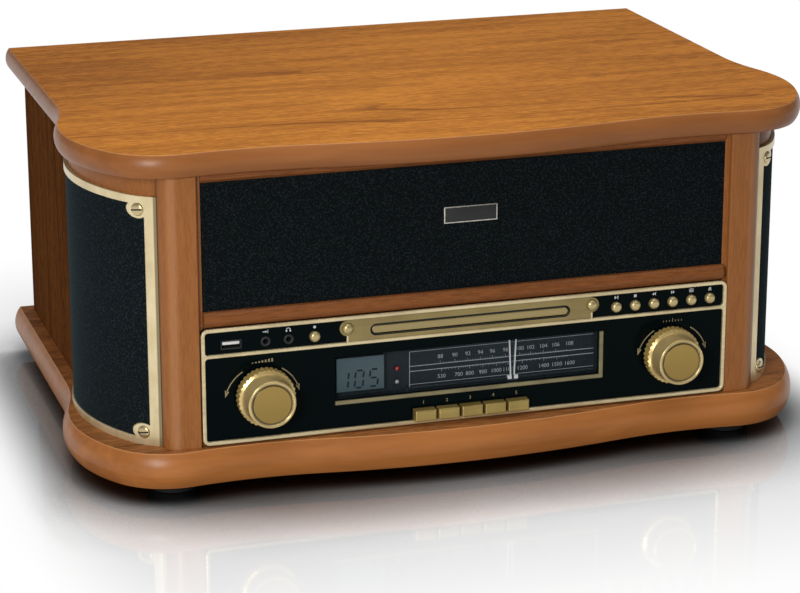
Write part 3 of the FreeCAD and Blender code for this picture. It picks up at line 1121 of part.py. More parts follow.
foot_r, foot_z = bearing + S.spindle_foot, low - S.spindle_gap
top = S.mat_thick + S.spindle_above
spindle_end = -S.platter_height - S.deck_thick - S.spindle_end
spindle = turned([(0, top), (r - S.spindle_taper, top), (r, top - S.spindle_nose), (r, S.mat_thick),
                  (bearing, S.mat_thick), (bearing, foot_z), (foot_r, foot_z), (foot_r, -S.platter_height),
                  (bearing, -S.platter_height), (bearing, spindle_end), (0, spindle_end)])
node("spindle", place(spindle, S.platter_x, PLATTER_Y, PLATTER_TOP))

BELT_Z = PLATTER_TOP + low + 1.5


def belt_loop(sketch, big, small):
    """Two arcs and the two tangent lines that a belt makes round a rim and a pulley."""
    a, b = spot((S.platter_x, PLATTER_Y)), spot((PULLEY_X, PULLEY_Y))
    heading = math.atan2(b.y - a.y, b.x - a.x)
    open_by = math.acos((big.number - small.number) / (b - a).Length)
    up, down = heading + open_by, heading - open_by + 2 * math.pi
    at = lambda c, r, t: c + V(math.cos(t), math.sin(t), 0) * r
    first = sketch.GeometryCount
    sketch.addGeometry(arc(a, big.number, up, down), False)
    sketch.addGeometry(Part.LineSegment(at(a, big.number, down), at(b, small.number, down)), False)
    sketch.addGeometry(arc(b, small.number, down - 2 * math.pi, up), False)
    sketch.addGeometry(Part.LineSegment(at(b, small.number, up), at(a, big.number, up)), False)
    tangents(sketch, [(first + i, 2, first + (i + 1) % 4, 1) for i in range(4)])
    dimension(sketch, "Radius", first, big)
    dimension(sketch, "Radius", first + 2, small)
    pin(sketch, first, 3, S.platter_x, PLATTER_Y)
    pin(sketch, first + 2, 3, PULLEY_X, PULLEY_Y)


belt = new_body()
loop = sketch_on(belt, "XY", BELT_Z)
fit = S.belt_fit
belt_loop(loop, S.rim_radius + fit + S.belt_thick, S.pulley_radius + fit + S.belt_thick)
belt_loop(loop, S.rim_radius + fit, S.pulley_radius + fit)
pad(belt, loop, S.belt_high)
node("drive_belt", belt)
PULLEY_LOW = BELT_Z - S.pulley_lip
wheel, flange = S.pulley_radius, S.pulley_radius + S.pulley_flange
bore = S.motor_shaft + S.pulley_fit
tall = S.belt_high + 2 * S.pulley_lip
pulley = turned([(bore, 0), (flange, 0), (flange, 0.4), (wheel, 0.6), (wheel, tall - 0.6),
                 (flange, tall - 0.4), (flange, tall), (bore, tall)])
node("motor_pulley", place(pulley, PULLEY_X, PULLEY_Y, PULLEY_LOW))
MOTOR_LOW, SHAFT_LOW = DECK_LOW - S.motor_deep, DECK_LOW - S.shaft_root
motor = fuse(rod("z", PULLEY_X, PULLEY_Y, MOTOR_LOW, S.motor_radius, S.motor_deep),
             rod("z", PULLEY_X, PULLEY_Y, MOTOR_LOW - S.boss_out, S.motor_boss, S.motor_deep),
             rod("z", PULLEY_X, PULLEY_Y, SHAFT_LOW, S.motor_shaft, PULLEY_LOW + tall - SHAFT_LOW),
             mid_box(PULLEY_X, PULLEY_Y - S.flange_half, DECK_LOW - S.flange_thick / 2, S.flange_long,
                     PULLEY_Y + S.flange_half, S.flange_thick))
node("drive_motor", motor)

# Tonearm: turning yoke, cranked tube with headshell and weight, and the cartridge.
yoke_low = DECK_TOP + S.collar + S.yoke_fit
post_low = DECK_LOW - S.collar
yoke_parts = [rod("z", ARM_X, ARM_Y, yoke_low, S.yoke_radius, ARM_Z - S.yoke_drop - yoke_low),
              rod("z", ARM_X, ARM_Y, post_low, S.arm_post, yoke_low - post_low + OVER)]
for sign in (-1, 1):
    yoke_parts.append(mid_box(ARM_X + S.cheek_set * sign, ARM_Y - S.cheek_half, ARM_Z - S.cheek_drop,
                              S.cheek_wide, ARM_Y + S.cheek_half, S.cheek_high))
cheek_out = S.cheek_set + S.cheek_wide
pivot_bore = rod("x", ARM_X - cheek_out, ARM_Y, ARM_Z, S.arm_pin + S.arm_pin_fit, 2 * cheek_out)
node("tonearm_base", cut(fuse(*yoke_parts), pivot_bore))

tube = new_body()
path = sketch_on(tube, "XY")
BEND = ARM_LENGTH - S.bend_run
HEAD_X, HEAD_Y = -S.head_off, S.head_back - ARM_LENGTH
path.addGeometry(Part.LineSegment(spot((0, S.arm_tail)), spot((0, -BEND))), False)
path.addGeometry(Part.LineSegment(spot((0, -BEND)), spot((HEAD_X, HEAD_Y))), False)
path.addConstraint(Sketcher.Constraint("Coincident", 0, 2, 1, 1))
pin(path, 0, 1, 0, S.arm_tail)
pin(path, 0, 2, 0, -BEND)
pin(path, 1, 2, HEAD_X, HEAD_Y)
ring_sketch = sketch_on(tube, "XZ", -S.arm_tail)
circle(ring_sketch, 0, 0, S.arm_radius)
pipe = tube.newObject("PartDesign::AdditivePipe", fresh("pipe"))
pipe.Profile = ring_sketch
pipe.Spine = (path, ["Edge1", "Edge2"])
pipe.Transition = "Round corner"
tube.Tip = pipe
place(tube, ARM_X, ARM_Y, ARM_Z)
CRANK = -math.atan2(SIZES["head_off"], SIZES["bend_run"] - SIZES["head_back"])
SHELL_TURN = FreeCAD.Rotation(V(0, 0, 1), math.degrees(CRANK))
SHELL_X, SHELL_Y = ARM_X - S.shell_off, ARM_Y - ARM_LENGTH + S.shell_back


def on_shell(x, y, z, thing):
    """Puts a piece that was made about the headshell's own origin in its place on the arm."""
    move_x = x * math.cos(CRANK) - y * math.sin(CRANK)
    move_y = x * math.sin(CRANK) + y * math.cos(CRANK)
    return place(thing, SHELL_X + move_x, SHELL_Y + move_y, ARM_Z + z, SHELL_TURN)


def shell_block(front, low, wide, long, high):
    """A block that lies across the headshell's middle line."""
    return on_shell(wide / -2, -front, -low, box(0, 0, 0, wide, long, high))


shell = shell_block(S.shell_front, S.shell_low, S.shell_wide, S.shell_long, S.shell_high)
lift_tab = on_shell(S.tab_in, -S.tab_front, S.tab_rise, box(0, 0, 0, S.tab_long, S.tab_wide, S.tab_thick))
weight_y = ARM_Y + S.arm_tail - S.weight_deep + S.weight_past
weight = rod("y", ARM_X, weight_y, ARM_Z, S.weight_radius, S.weight_deep)
arm_hub = mid_box(ARM_X, ARM_Y - S.arm_hub_half, ARM_Z, S.arm_hub, ARM_Y + S.arm_hub_half, S.arm_hub)
pin_half = S.cheek_set + S.arm_pin_past
pivot_pin = rod("x", ARM_X - pin_half, ARM_Y, ARM_Z, S.arm_pin, 2 * pin_half)
node("tonearm", fuse(tube, shell, lift_tab, weight, arm_hub, pivot_pin))
cart_body = shell_block(S.cart_front, S.cart_low, S.cart_wide, S.cart_long, S.cart_high)
needle_arm = shell_block(S.stylus_front, S.stylus_low, S.stylus_wide, S.stylus_long, S.stylus_high)
tip = on_shell(lift(0), -S.tip_front, -S.tip_low, rod("z", 0, 0, 0, S.tip_radius, S.tip_long))
node("cartridge", fuse(cart_body, needle_arm, tip))

knob_y = cue_y - S.cue_arm
cue_lever = fuse(rod("x", CUE_X - S.cue_pin_half, cue_y, CUE_Z, S.cue_pin, 2 * S.cue_pin_half),
                 rod("x", CUE_X - S.cue_hub_half, cue_y, CUE_Z, S.cue_hub, 2 * S.cue_hub_half),
                 box(CUE_X - S.cue_arm_half, knob_y + OVER, CUE_Z - S.cue_arm_high, CUE_X + S.cue_arm_half,
                     cue_y, CUE_Z + S.cue_arm_high),
                 rod("x", CUE_X - S.cue_knob, knob_y, CUE_Z, S.cue_knob, 2 * S.cue_knob))
node("cue_lever", cue_lever)
speed_low, speed_disc = DECK_LOW - S.speed_below, DECK_TOP + S.speed_gap
speed_pin = rod("z", SPEED_X, speed_y, speed_low, S.lever_pin, speed_disc - speed_low + OVER)
speed_lever = mid_box(SPEED_X, speed_y - S.speed_lever, DECK_TOP + S.speed_lever_rise, S.speed_lever_wide,
                      speed_y, S.speed_lever_high)
node("speed_selector", fuse(speed_pin, rod("z", SPEED_X, speed_y, speed_disc, S.speed_disc, S.speed_high),
                            speed_lever))

# Lid, hinge leaves and the slotted stay.
HINGE_X, HINGE_Y, HINGE_Z = SIDE_HALF - S.hinge_in, REAR + S.hinge_back, LID_LOW
lid = nosed_board(LID_LOW, S.lid_thick)
recess = sketch_on(lid, "XY", LID_LOW)
leaf = S.leaf_wide / 2
wells = sketch_on(lid, "XY", LID_LOW)
for sign in (-1, 1):
    x = HINGE_X * sign
    y0 = HINGE_Y - S.leaf_deep
    polygon(recess, [(x - leaf, y0), (x + leaf, y0), (x + leaf, HINGE_Y), (x - leaf, HINGE_Y)])
    well_x, well_y0 = leaf + S.well_room, HINGE_Y - S.knuckle - S.well_room
    well_y1 = HINGE_Y + S.knuckle + S.well_back
    polygon(wells, [(x - well_x, well_y0), (x + well_x, well_y0), (x + well_x, well_y1),
                    (x - well_x, well_y1)])
pocket(lid, recess, S.leaf_thick, True)
pocket(lid, wells, S.knuckle + S.well_room, True)
node("lid", lid)

fixed, swung = [], []
mid = S.middle_knuckle / 2
for sign in (-1, 1):
    x = HINGE_X * sign
    side_long = leaf - mid - S.knuckle_gap
    starts = (x - leaf, x + mid + S.knuckle_gap)
    leaf_y, leaf_top = REAR + S.leaf_thick, LID_LOW - S.knuckle
    pieces = [box(x - leaf, REAR, leaf_top - S.leaf_high, x + leaf, leaf_y, leaf_top - OVER),
              rod("x", x - leaf, HINGE_Y, HINGE_Z, S.pin_radius, S.leaf_wide)]
    for start in starts:
        pieces.append(rod("x", start, HINGE_Y, HINGE_Z, S.knuckle, side_long))
        pieces.append(box(start, REAR, leaf_top - 2 * OVER, start + side_long, leaf_y, LID_LOW - S.leaf_lip))
    fixed.append(fuse(*pieces))
    flap_x, flap_top, neck_y = leaf - S.leaf_fit, LID_LOW + S.leaf_thick, HINGE_Y - S.knuckle
    flap = fuse(box(x - flap_x, HINGE_Y - S.leaf_deep + S.leaf_fit, LID_LOW, x + flap_x,
                    neck_y - S.knuckle_gap, flap_top),
                box(x - mid, neck_y - S.leaf_neck, LID_LOW, x + mid, HINGE_Y, flap_top),
                rod("x", x - mid, HINGE_Y, HINGE_Z, S.knuckle, S.middle_knuckle))
    swung.append(cut(flap, rod("x", x - leaf, HINGE_Y, HINGE_Z, S.pin_radius + S.pin_fit, S.leaf_wide)))
stay_end = STAY_X + S.stay_thick
head_x = stay_end + S.stay_gap
fixed.append(fuse(rod("x", -SIDE_IN, REST_PIN_Y, REST_PIN_Z, S.stay_boss, S.stay_set - S.stay_gap),
                  rod("x", -SIDE_IN, REST_PIN_Y, REST_PIN_Z, S.stay_pin, head_x + SIDE_IN),
                  rod("x", head_x, REST_PIN_Y, REST_PIN_Z, S.stay_head, S.stay_head_thick)))
node("hinge_brackets", group(*fixed))
lift_pin_x = STAY_X - S.stay_pin_past
lift_pin_long = head_x + S.bracket_sheet / 3 - lift_pin_x
swung.append(fuse(box(head_x, LIFT_Y - S.bracket_half, LID_LOW - S.bracket_sheet, stay_end + S.bracket_wide,
                      LIFT_Y + S.bracket_half, LID_LOW),
                  box(head_x, LIFT_Y - S.bracket_ear, LIFT_Z - S.bracket_below, head_x + S.bracket_sheet,
                      LIFT_Y + S.bracket_ear, LID_LOW),
                  rod("x", lift_pin_x, LIFT_Y, LIFT_Z, S.stay_pin, lift_pin_long)))
node("lid_fittings", group(*swung))

stay = new_body()
face = sketch_on(stay, "YZ")
half = S.stay_width / 2
bar = S.stay_length


def upright_pill(sketch, z0, z1, radius):
    """A slot with round ends on the sketch's vertical axis, from z0 up to z1."""
    a, b, r = spot((0, z0)), spot((0, z1)), lift(radius).number
    first = sketch.GeometryCount
    sketch.addGeometry(Part.LineSegment(a + V(r, 0, 0), b + V(r, 0, 0)), False)
    sketch.addGeometry(arc(b, r, 0, math.pi), False)
    sketch.addGeometry(Part.LineSegment(b + V(-r, 0, 0), a + V(-r, 0, 0)), False)
    sketch.addGeometry(arc(a, r, math.pi, 2 * math.pi), False)
    tangents(sketch, [(first + i, 2, first + (i + 1) % 4, 1) for i in range(4)])
    sketch.addConstraint(Sketcher.Constraint("Vertical", first))
    dimension(sketch, "Radius", first + 1, radius)
    pin(sketch, first + 1, 3, 0, z1)
    pin(sketch, first + 3, 3, None, z0)


near = root((LIFT_Y - REST_PIN_Y) * (LIFT_Y - REST_PIN_Y) + (drop - hang) * (drop - hang))
upright_pill(face, -bar, 0.0, half)
upright_pill(face, S.stay_end - bar, S.stay_spare - near, S.stay_pin + S.stay_slack)
circle(face, 0, 0, S.stay_pin + S.pin_fit)
pad(stay, face, S.stay_thick)
swing = (STAY_A + STAY_B) / 2
place(stay, STAY_X, LIFT_Y, LIFT_Z, FreeCAD.Rotation(V(1, 0, 0), swing.number))
stay.setExpression("Placement.Rotation.Angle", swing.text)
node("lid_stay", stay)

# Cassette slot on the right side: bezel with its shell, inward flap and eject key.
X0 = WALL_HALF
lap = S.bezel_lap
bezel = fuse(box(X0, CASS_Y - shell_y - lap, CASS_Z - shell_z - S.bezel_foot, X0 + S.bezel_thick,
                 CASS_Y + shell_y + lap, CASS_Z + shell_z + lap),
             box(X0 - S.cassette_deep - S.shell_wall, CASS_Y - shell_y, CASS_Z - shell_z,
                 X0 + S.bezel_thick / 4, CASS_Y + shell_y, CASS_Z + shell_z))
mouth = box(X0 - S.cassette_deep, CASS_Y - S.cassette_long / 2, CASS_Z - S.cassette_high / 2, FAR,
            CASS_Y + S.cassette_long / 2, CASS_Z + S.cassette_high / 2)
FLAP_Z = CASS_Z + S.cassette_high / 2 - 1.6
FLAP_X = X0 + 0.2
pivots = rod("y", FLAP_X, CASS_Y - S.cassette_long / 2 - 1.5, FLAP_Z, S.flap_pin + 0.05, S.cassette_long + 3)
key_gap = box(X0 - 9, EJECT_Y - S.eject_long / 2 - 0.3, EJECT_Z - S.eject_high / 2 - 0.3, FAR,
              EJECT_Y + S.eject_long / 2 + 0.3, EJECT_Z + S.eject_high / 2 + 0.3)
node("cassette_bezel", cut(bezel, mouth, pivots, key_gap))
edge = S.cassette_long / 2 - S.flap_fit
flap = fuse(box(FLAP_X - S.flap_thick / 2, CASS_Y - edge, CASS_Z - S.cassette_high / 2 + S.flap_fit,
                FLAP_X + S.flap_thick / 2, CASS_Y + edge, FLAP_Z),
            rod("y", FLAP_X, CASS_Y - edge, FLAP_Z, 1.3, 2 * edge),
            rod("y", FLAP_X, CASS_Y - S.cassette_long / 2 - 1.2, FLAP_Z, S.flap_pin, S.cassette_long + 2.4))
node("cassette_flap", flap)
node("eject_key", fuse(box(X0 - 6, EJECT_Y - S.eject_long / 2, EJECT_Z - S.eject_high / 2,
                           X0 + S.bezel_thick + S.eject_proud, EJECT_Y + S.eject_long / 2,
                           EJECT_Z + S.eject_high / 2),
                       box(X0 - INNER, EJECT_Y - 3, EJECT_Z - 1.5, X0 - 5, EJECT_Y + 3, EJECT_Z + 1.5)))

# Amplifier board on stand-offs, with its transformer, heat sink and capacitors.
BX, BY, BZ = S.board_in - SIDE_IN, FRONT + S.board_set, BASE_TOP + S.board_rise
SHEET = BZ + S.board_thick
core_x, core_y = BX + S.core_x, BY + S.core_y
coil_x, coil_y = core_x - S.coil_lap, core_y + S.coil_set
sink_x, sink_y = BX + S.sink_x, BY + S.sink_y
board = [box(BX, BY, BZ, BX + S.board_side, BY + S.board_side, SHEET),
         box(core_x, core_y, BZ, core_x + S.core_wide, core_y + S.core_deep, BZ + S.core_high),
         box(coil_x, coil_y, BZ, coil_x + S.core_wide + 2 * S.coil_lap, coil_y + S.core_deep - 2 * S.coil_set,
             BZ + S.coil_high),
         box(sink_x, sink_y, BZ, sink_x + S.sink_long, sink_y + S.sink_deep, BZ + S.sink_foot)]
for foot_x in (BX + S.board_foot_in, BX + S.board_side - S.board_foot_in):
    for foot_y in (BY + S.board_foot_in, BY + S.board_side - S.board_foot_in):
        board.append(rod("z", foot_x, foot_y, BASE_TOP, S.board_foot, SHEET - BASE_TOP))
for k in range(3):
    board.append(rod("z", BX + S.can_x, BY + S.can_y + S.can_pitch * k, BZ, S.can_radius, S.can_high))
for k in range(SIZES["fin_count"]):
    fin_y = sink_y + 2 + S.fin_pitch * k
    board.append(box(sink_x, fin_y, BZ, sink_x + S.sink_long, fin_y + S.fin_thick, BZ + S.fin_high))
node("main_board", fuse(*board))

# Recompute, check every object and write one file per piece.
doc.recompute()
for item in doc.Objects:
    if "Invalid" in item.State or "Error" in item.State:
        raise RuntimeError("object %s (%s) did not build: %s" % (item.Name, item.Label, item.State))
os.makedirs("parts", exist_ok=True)
for label, thing in nodes:
    shape = thing.Shape
    if shape.isNull() or not shape.isValid() or not shape.Solids:
        raise RuntimeError("piece %s has no valid solid" % label)
    shape.exportStep("parts/%s.step" % label)
    print("%-18s solids %d volume %.0f" % (label, len(shape.Solids), shape.Volume))
print("pieces", len(nodes))
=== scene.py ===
import bpy
import bmesh
import math
from mathutils import Matrix, Vector


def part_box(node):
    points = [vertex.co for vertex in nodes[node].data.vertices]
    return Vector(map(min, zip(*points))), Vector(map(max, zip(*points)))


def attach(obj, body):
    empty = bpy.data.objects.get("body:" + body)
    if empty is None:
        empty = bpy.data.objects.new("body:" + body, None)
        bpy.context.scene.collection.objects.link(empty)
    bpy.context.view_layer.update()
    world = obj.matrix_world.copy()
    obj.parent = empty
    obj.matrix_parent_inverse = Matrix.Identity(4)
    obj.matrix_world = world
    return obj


# Looks of a wooden music centre: a turntable under the lid, a disc tray, a radio dial and a cassette slot.
# Places and sizes are millimetres in the object's frame: Z is up and -Y is the front. The studio is in metres.

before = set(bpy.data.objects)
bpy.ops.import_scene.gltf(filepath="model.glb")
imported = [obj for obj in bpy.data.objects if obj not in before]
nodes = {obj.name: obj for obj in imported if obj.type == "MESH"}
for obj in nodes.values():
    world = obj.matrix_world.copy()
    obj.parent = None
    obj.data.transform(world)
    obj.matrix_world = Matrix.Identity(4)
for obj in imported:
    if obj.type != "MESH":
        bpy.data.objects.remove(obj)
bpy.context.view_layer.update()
MM = 0.001


# Shader values and finishes.

class Value:
    """A shader number. An expression on values adds its Math nodes to the finish that they belong to."""

    def __init__(self, finish, socket):
        self.finish = finish
        self.socket = socket

    def __add__(self, other):
        return self.finish.maths("ADD", self, other)

    def __radd__(self, other):
        return self.finish.maths("ADD", other, self)

    def __sub__(self, other):
        return self.finish.maths("SUBTRACT", self, other)

    def __rsub__(self, other):
        return self.finish.maths("SUBTRACT", other, self)

    def __mul__(self, other):
        return self.finish.maths("MULTIPLY", self, other)

    def __pow__(self, other):
        return self.finish.maths("POWER", self, other)


class Finish:
    """One procedural finish. Every node comes from node(): its type, its settings, then its sockets."""

    def __init__(self, name):
        self.material = bpy.data.materials.new(name)
        self.material.use_nodes = True
        self.tree = self.material.node_tree
        self.tree.nodes.clear()
        self.spot = None

    def node(self, kind, settings=None, sockets=None, output=0):
        """Adds a node and gives one of its outputs. A Value is linked to its socket, a constant is set on it."""
        made = self.tree.nodes.new("ShaderNode" + kind)
        for name, value in (settings or {}).items():
            setattr(made, name, value)
        for name, value in (sockets or {}).items():
            if isinstance(value, Value):
                self.tree.links.new(value.socket, made.inputs[name])
            else:
                made.inputs[name].default_value = value
        return Value(self, made.outputs[output]) if made.outputs else None

    def maths(self, operation, *terms):
        return self.node("Math", {"operation": operation}, dict(enumerate(terms)))

    def distance(self, a, b):
        """Length of the two sides of a right angle together."""
        return self.maths("SQRT", a * a + b * b)

    def place(self):
        """Object coordinates, in metres."""
        if self.spot is None:
            self.spot = self.node("TexCoord", output="Object")
        return self.spot

    def axes(self):
        return [self.node("SeparateXYZ", None, {0: self.place()}, k) for k in range(3)]

    def stretched(self, x, y, z):
        """Object coordinates multiplied along each axis, so that a pattern runs with the grain."""
        return self.node("VectorMath", {"operation": "MULTIPLY"}, {0: self.place(), 1: (x, y, z)})

    def joined(self, x, y, z):
        return self.node("CombineXYZ", None, {0: x, 1: y, 2: z})

    def noise(self, vector, scale=1.0, detail=2.0, roughness=0.5):
        return self.node("TexNoise", None, {"Vector": vector, "Scale": scale, "Detail": detail,
                                            "Roughness": roughness})

    def fade(self, value, low, high):
        """0 below low, 1 above high, smooth between."""
        return self.node("MapRange", {"interpolation_type": "SMOOTHSTEP"},
                         {"Value": value, "From Min": low, "From Max": high})

    def past(self, length, low, high):
        """A fade of a length on the object between two places in millimetres."""
        return self.fade(length, low * MM, high * MM)

    def mix(self, factor, first, second):
        return self.node("Mix", {"data_type": "RGBA"}, {0: factor, 6: colour(first), 7: colour(second)}, 2)

    def bump(self, height, strength, depth, rounded=None):
        """Bump of a depth in millimetres. With rounded, sharp edges shade as if rounded over by that radius."""
        sockets = {"Height": height, "Strength": strength, "Distance": depth * MM}
        if rounded:
            sockets["Normal"] = self.node("Bevel", None, {"Radius": rounded * MM})
        return self.node("Bump", None, sockets)

    def surface(self, **sockets):
        """A Principled surface. Sockets are written with underscores, and Specular is short for its level."""
        named = {SHORT_NAMES.get(name, name).replace("_", " "): value for name, value in sockets.items()}
        return self.close(self.node("BsdfPrincipled", None, named))

    def close(self, shader):
        self.node("OutputMaterial", None, {"Surface": shader})
        return self.material


SHORT_NAMES = {"Specular": "Specular IOR Level"}


def colour(value):
    """Adds full opacity to a colour of three numbers, and leaves the rest alone."""
    if isinstance(value, tuple) and len(value) == 3:
        return (*value, 1.0)
    return value


def shaded(tint, share):
    return tuple(min(1.0, part * share) for part in tint)


# Wood: broad figure, contour lines, fine streaks and pores, under a satin lacquer.

# Heights of the two boards' faces, how far below them the nosing goes, the tone of the painted highlight along its
# upper edge, and the tone of the painted highlight on a rounded edge, which fades out over this distance on both
# sides.
LID_TOP, BASE_TOP = 225.0, 33.3
NOSE_DEPTH = 14.9
ARRIS_HIGHLIGHT_TONE, ROUND_HIGHLIGHT_TONE = (0.62, 0.3, 0.12), (0.56, 0.3, 0.16)
ROUND_HIGHLIGHT_SOFT = 1.5


def wood(name, grain, light, dark, line, seed, face=None, nose=None, gloss=0.03, specular=0.07, figure=0.7,
         highlight_band=None):
    """Veneer with its grain along one axis. Below the height face it is a nosing in the two nose colours.

    With the last argument, two distances from the middle of the object, the veneer between them is painted paler:
    a painted highlight on a rounded edge."""
    f = Finish(name)
    k = "xyz".index(grain)

    def run(along, across, shift=0.0):
        """Coordinates of a pattern with so many cells per metre along and across the grain."""
        scales = [across] * 3
        scales[k] = along
        moved = (seed + shift, shift, seed - shift)
        return f.node("VectorMath", {"operation": "ADD"}, {0: f.stretched(*scales), 1: moved})

    # Tone: a slow drift, bands and fine streaks.
    broad = f.noise(run(1.6, 7), detail=3.0)
    band = f.noise(run(7, 85, 5.0), detail=3.0, roughness=0.6)
    streak = f.noise(run(95, 900, 1.3), detail=3.0, roughness=0.7)
    tone = f.fade(broad * 0.18 + band * 0.26 + streak * 0.56, 0.42, 0.58)
    # Contour lines of a slow field, in patches.
    field = f.noise(run(0.8, 10, 3.1), detail=2.5, roughness=0.45) * 9.0
    patchy = f.fade(f.noise(run(2.4, 12, 7.7), detail=2.0), 0.46, 0.6)
    lines = (1.0 - f.fade(f.maths("FRACT", field), 0.0, 0.12)) * patchy
    # Dark pores and pale flecks.
    pore = f.fade(f.noise(run(110, 1250, 2.2), detail=2.0), 0.58, 0.7)
    pale = f.fade(f.noise(run(120, 700, 4.4), detail=2.0), 0.56, 0.7) * f.fade(band, 0.4, 0.6)
    flecked = f.mix(pale * 0.8 * figure, f.mix(tone, dark, light), shaded(light, 1.35))
    lined = f.mix(lines * figure, flecked, line)
    grained = f.mix(pore * 0.65 * figure, lined, line)
    height = streak * 0.5 - pore * 0.6 - lines * 0.2
    # Painted highlight: the veneer is paler in a band between two distances from the middle, where a rounded edge
    # catches the light.
    if highlight_band:
        side = f.maths("ABSOLUTE", f.axes()[0])
        inner, outer = [f.past(side, edge - ROUND_HIGHLIGHT_SOFT, edge + ROUND_HIGHLIGHT_SOFT) for edge in highlight_band]
        grained = f.mix(inner * (1.0 - outer) * 0.22, grained, ROUND_HIGHLIGHT_TONE)
    if face is None:
        return f.surface(Base_Color=grained, Roughness=0.42 + streak * 0.12, Specular=specular,
                         Coat_Weight=gloss, Coat_Roughness=0.24, Normal=f.bump(height, 0.1, 0.3, 1.2))
    x, y, z = f.axes()
    below = 1.0 - f.past(z, face - 0.12, face - 0.04)
    above = f.past(z, face - NOSE_DEPTH, face - NOSE_DEPTH + 0.9)
    # Painted highlight: a paler line just below the face, along the nosing's upper edge.
    arris_highlight = below * f.past(z, face - 0.75, face - 0.35)
    plain = f.mix(f.fade(broad * 0.5 + band * 0.5, 0.36, 0.64), *nose)
    arris_lit = f.mix(arris_highlight * 0.5, plain, ARRIS_HIGHLIGHT_TONE)
    # Painted shade: the veneer darkens towards the back and the right, where the lamps' light falls off.
    falloff_shade = f.past(y - x * 0.6, -20.0, 220.0) * 0.55 + f.past(x, 20.0, 220.0) * 0.4
    shade_darkened = f.mix(f.maths("MINIMUM", falloff_shade, 1.0), grained, f.mix(tone, line, dark))
    return f.surface(Base_Color=f.mix(below, shade_darkened, arris_lit), Roughness=0.4 + streak * 0.1, Specular=specular,
                     Coat_Weight=gloss + below * above * 0.42, Coat_Roughness=0.34,
                     Normal=f.bump(height * (1.0 - below * 0.8), 0.1, 0.3))


LID_WOOD = wood("lid_veneer", "x", seed=2.0, face=LID_TOP,
                light=(0.68, 0.255, 0.036), dark=(0.43, 0.148, 0.02), line=(0.17, 0.046, 0.008),
                nose=((0.25, 0.086, 0.022), (0.34, 0.121, 0.031)))
BASE_WOOD = wood("base_veneer", "x", seed=5.0, face=BASE_TOP,
                 light=(0.46, 0.18, 0.052), dark=(0.25, 0.09, 0.026), line=(0.09, 0.03, 0.01),
                 nose=((0.32, 0.112, 0.027), (0.45, 0.162, 0.04)))
# The posts' paler band on their rounded edges is a painted highlight.
POST_WOOD = wood("post_veneer", "z", seed=8.0, gloss=0.3, figure=0.15, highlight_band=(190.5, 195.5),
                 light=(0.33, 0.12, 0.031), dark=(0.275, 0.097, 0.024), line=(0.19, 0.064, 0.017))
CORNER_WOOD = wood("corner_veneer", "z", seed=9.0, gloss=0.25, figure=0.12,
                   light=(0.31, 0.112, 0.029), dark=(0.26, 0.092, 0.023), line=(0.18, 0.06, 0.016))
# Painted shade: the side panels are a darker copy of the veneer, so that they stay dark under the lamps.
SHADED_SIDE_WOOD = wood("side_veneer_painted_shade", "z", seed=11.0, gloss=0.0, specular=0.0, figure=0.9,
                 light=(0.18, 0.064, 0.018), dark=(0.1, 0.035, 0.011), line=(0.045, 0.016, 0.006))
RAIL_WOOD = wood("rail_veneer", "x", seed=14.0, gloss=0.12, figure=0.3,
                 light=(0.24, 0.082, 0.024), dark=(0.17, 0.057, 0.017), line=(0.1, 0.034, 0.011))


# Cloth: the distance between threads, and the tint of its sheen.

THREAD_PITCH = 1.15
CLOTH_SHEEN = (0.4, 0.62, 0.68, 1.0)


def speaker_cloth(name, turned, low, high, sheen):
    """Plain black weave of warp and weft threads, with pale slubs. Turned, it runs round a corner."""
    f = Finish(name)
    x, y, z = f.axes()
    step = 2 * math.pi / (THREAD_PITCH * MM)
    warp = f.maths("SINE", (x - y if turned else x) * step)
    weft = f.maths("SINE", z * step)
    weave = warp * weft * 0.5 + 0.5
    fuzz = f.noise(f.place(), 900.0, 3.0)
    slub = f.fade(f.noise(f.place(), 850.0, 2.0), 0.5, 0.66)
    shade = f.fade(weave * 0.6 + fuzz * 0.4, 0.25, 0.85)
    return f.surface(Base_Color=f.mix(shade * 0.4 + slub * 0.6, low, high), Roughness=0.85 + weave * 0.1,
                     Specular=0.03, Sheen_Weight=sheen, Sheen_Tint=CLOTH_SHEEN,
                     Normal=f.bump(weave + fuzz * 0.4, 0.35, 0.3))


FRONT_CLOTH = speaker_cloth("front_cloth", False, (0.0015, 0.0028, 0.0032), (0.017, 0.022, 0.024), 0.01)
CORNER_CLOTH = speaker_cloth("corner_cloth", True, (0.002, 0.0035, 0.0042), (0.023, 0.03, 0.035), 0.06)


# Gilt plastic. Streaks are in cells per metre along each axis.

EVEN, FINE = (60.0, 60.0, 60.0), (500.0, 500.0, 500.0)
BRUSHED, LONG_BRUSHED = (30.0, 400.0, 400.0), (20.0, 900.0, 900.0)


def gilt(name, tint, shadow, rough, streaks=EVEN, metal=0.55, rounded=0.7, rim=None):
    """Metallised plastic in a gold tone, with faint streaks, uneven polish and rounded edges.

    With rim, a distance from the middle of the object, what is nearer the middle than it is in shade."""
    f = Finish(name)
    cloud = f.noise(f.place(), 55.0, 3.0)
    brush = f.noise(f.stretched(*streaks), 1.0, 3.0, 0.6)
    speck = f.fade(f.noise(f.place(), 2600.0, 2.0), 0.66, 0.78)
    tone = f.mix(f.fade(cloud * 0.5 + brush * 0.5, 0.32, 0.66), shadow, tint)
    if rim:
        side = f.maths("ABSOLUTE", f.axes()[0])
        tone = f.mix(f.past(side, rim - 0.4, rim + 0.4), shaded(shadow, 0.4), tone)
    return f.surface(Base_Color=f.mix(speck * 0.25, tone, shadow), Metallic=metal, Roughness=rough + brush * 0.12,
                     Normal=f.bump(brush + cloud * 0.3, 0.06, 0.2, rounded))


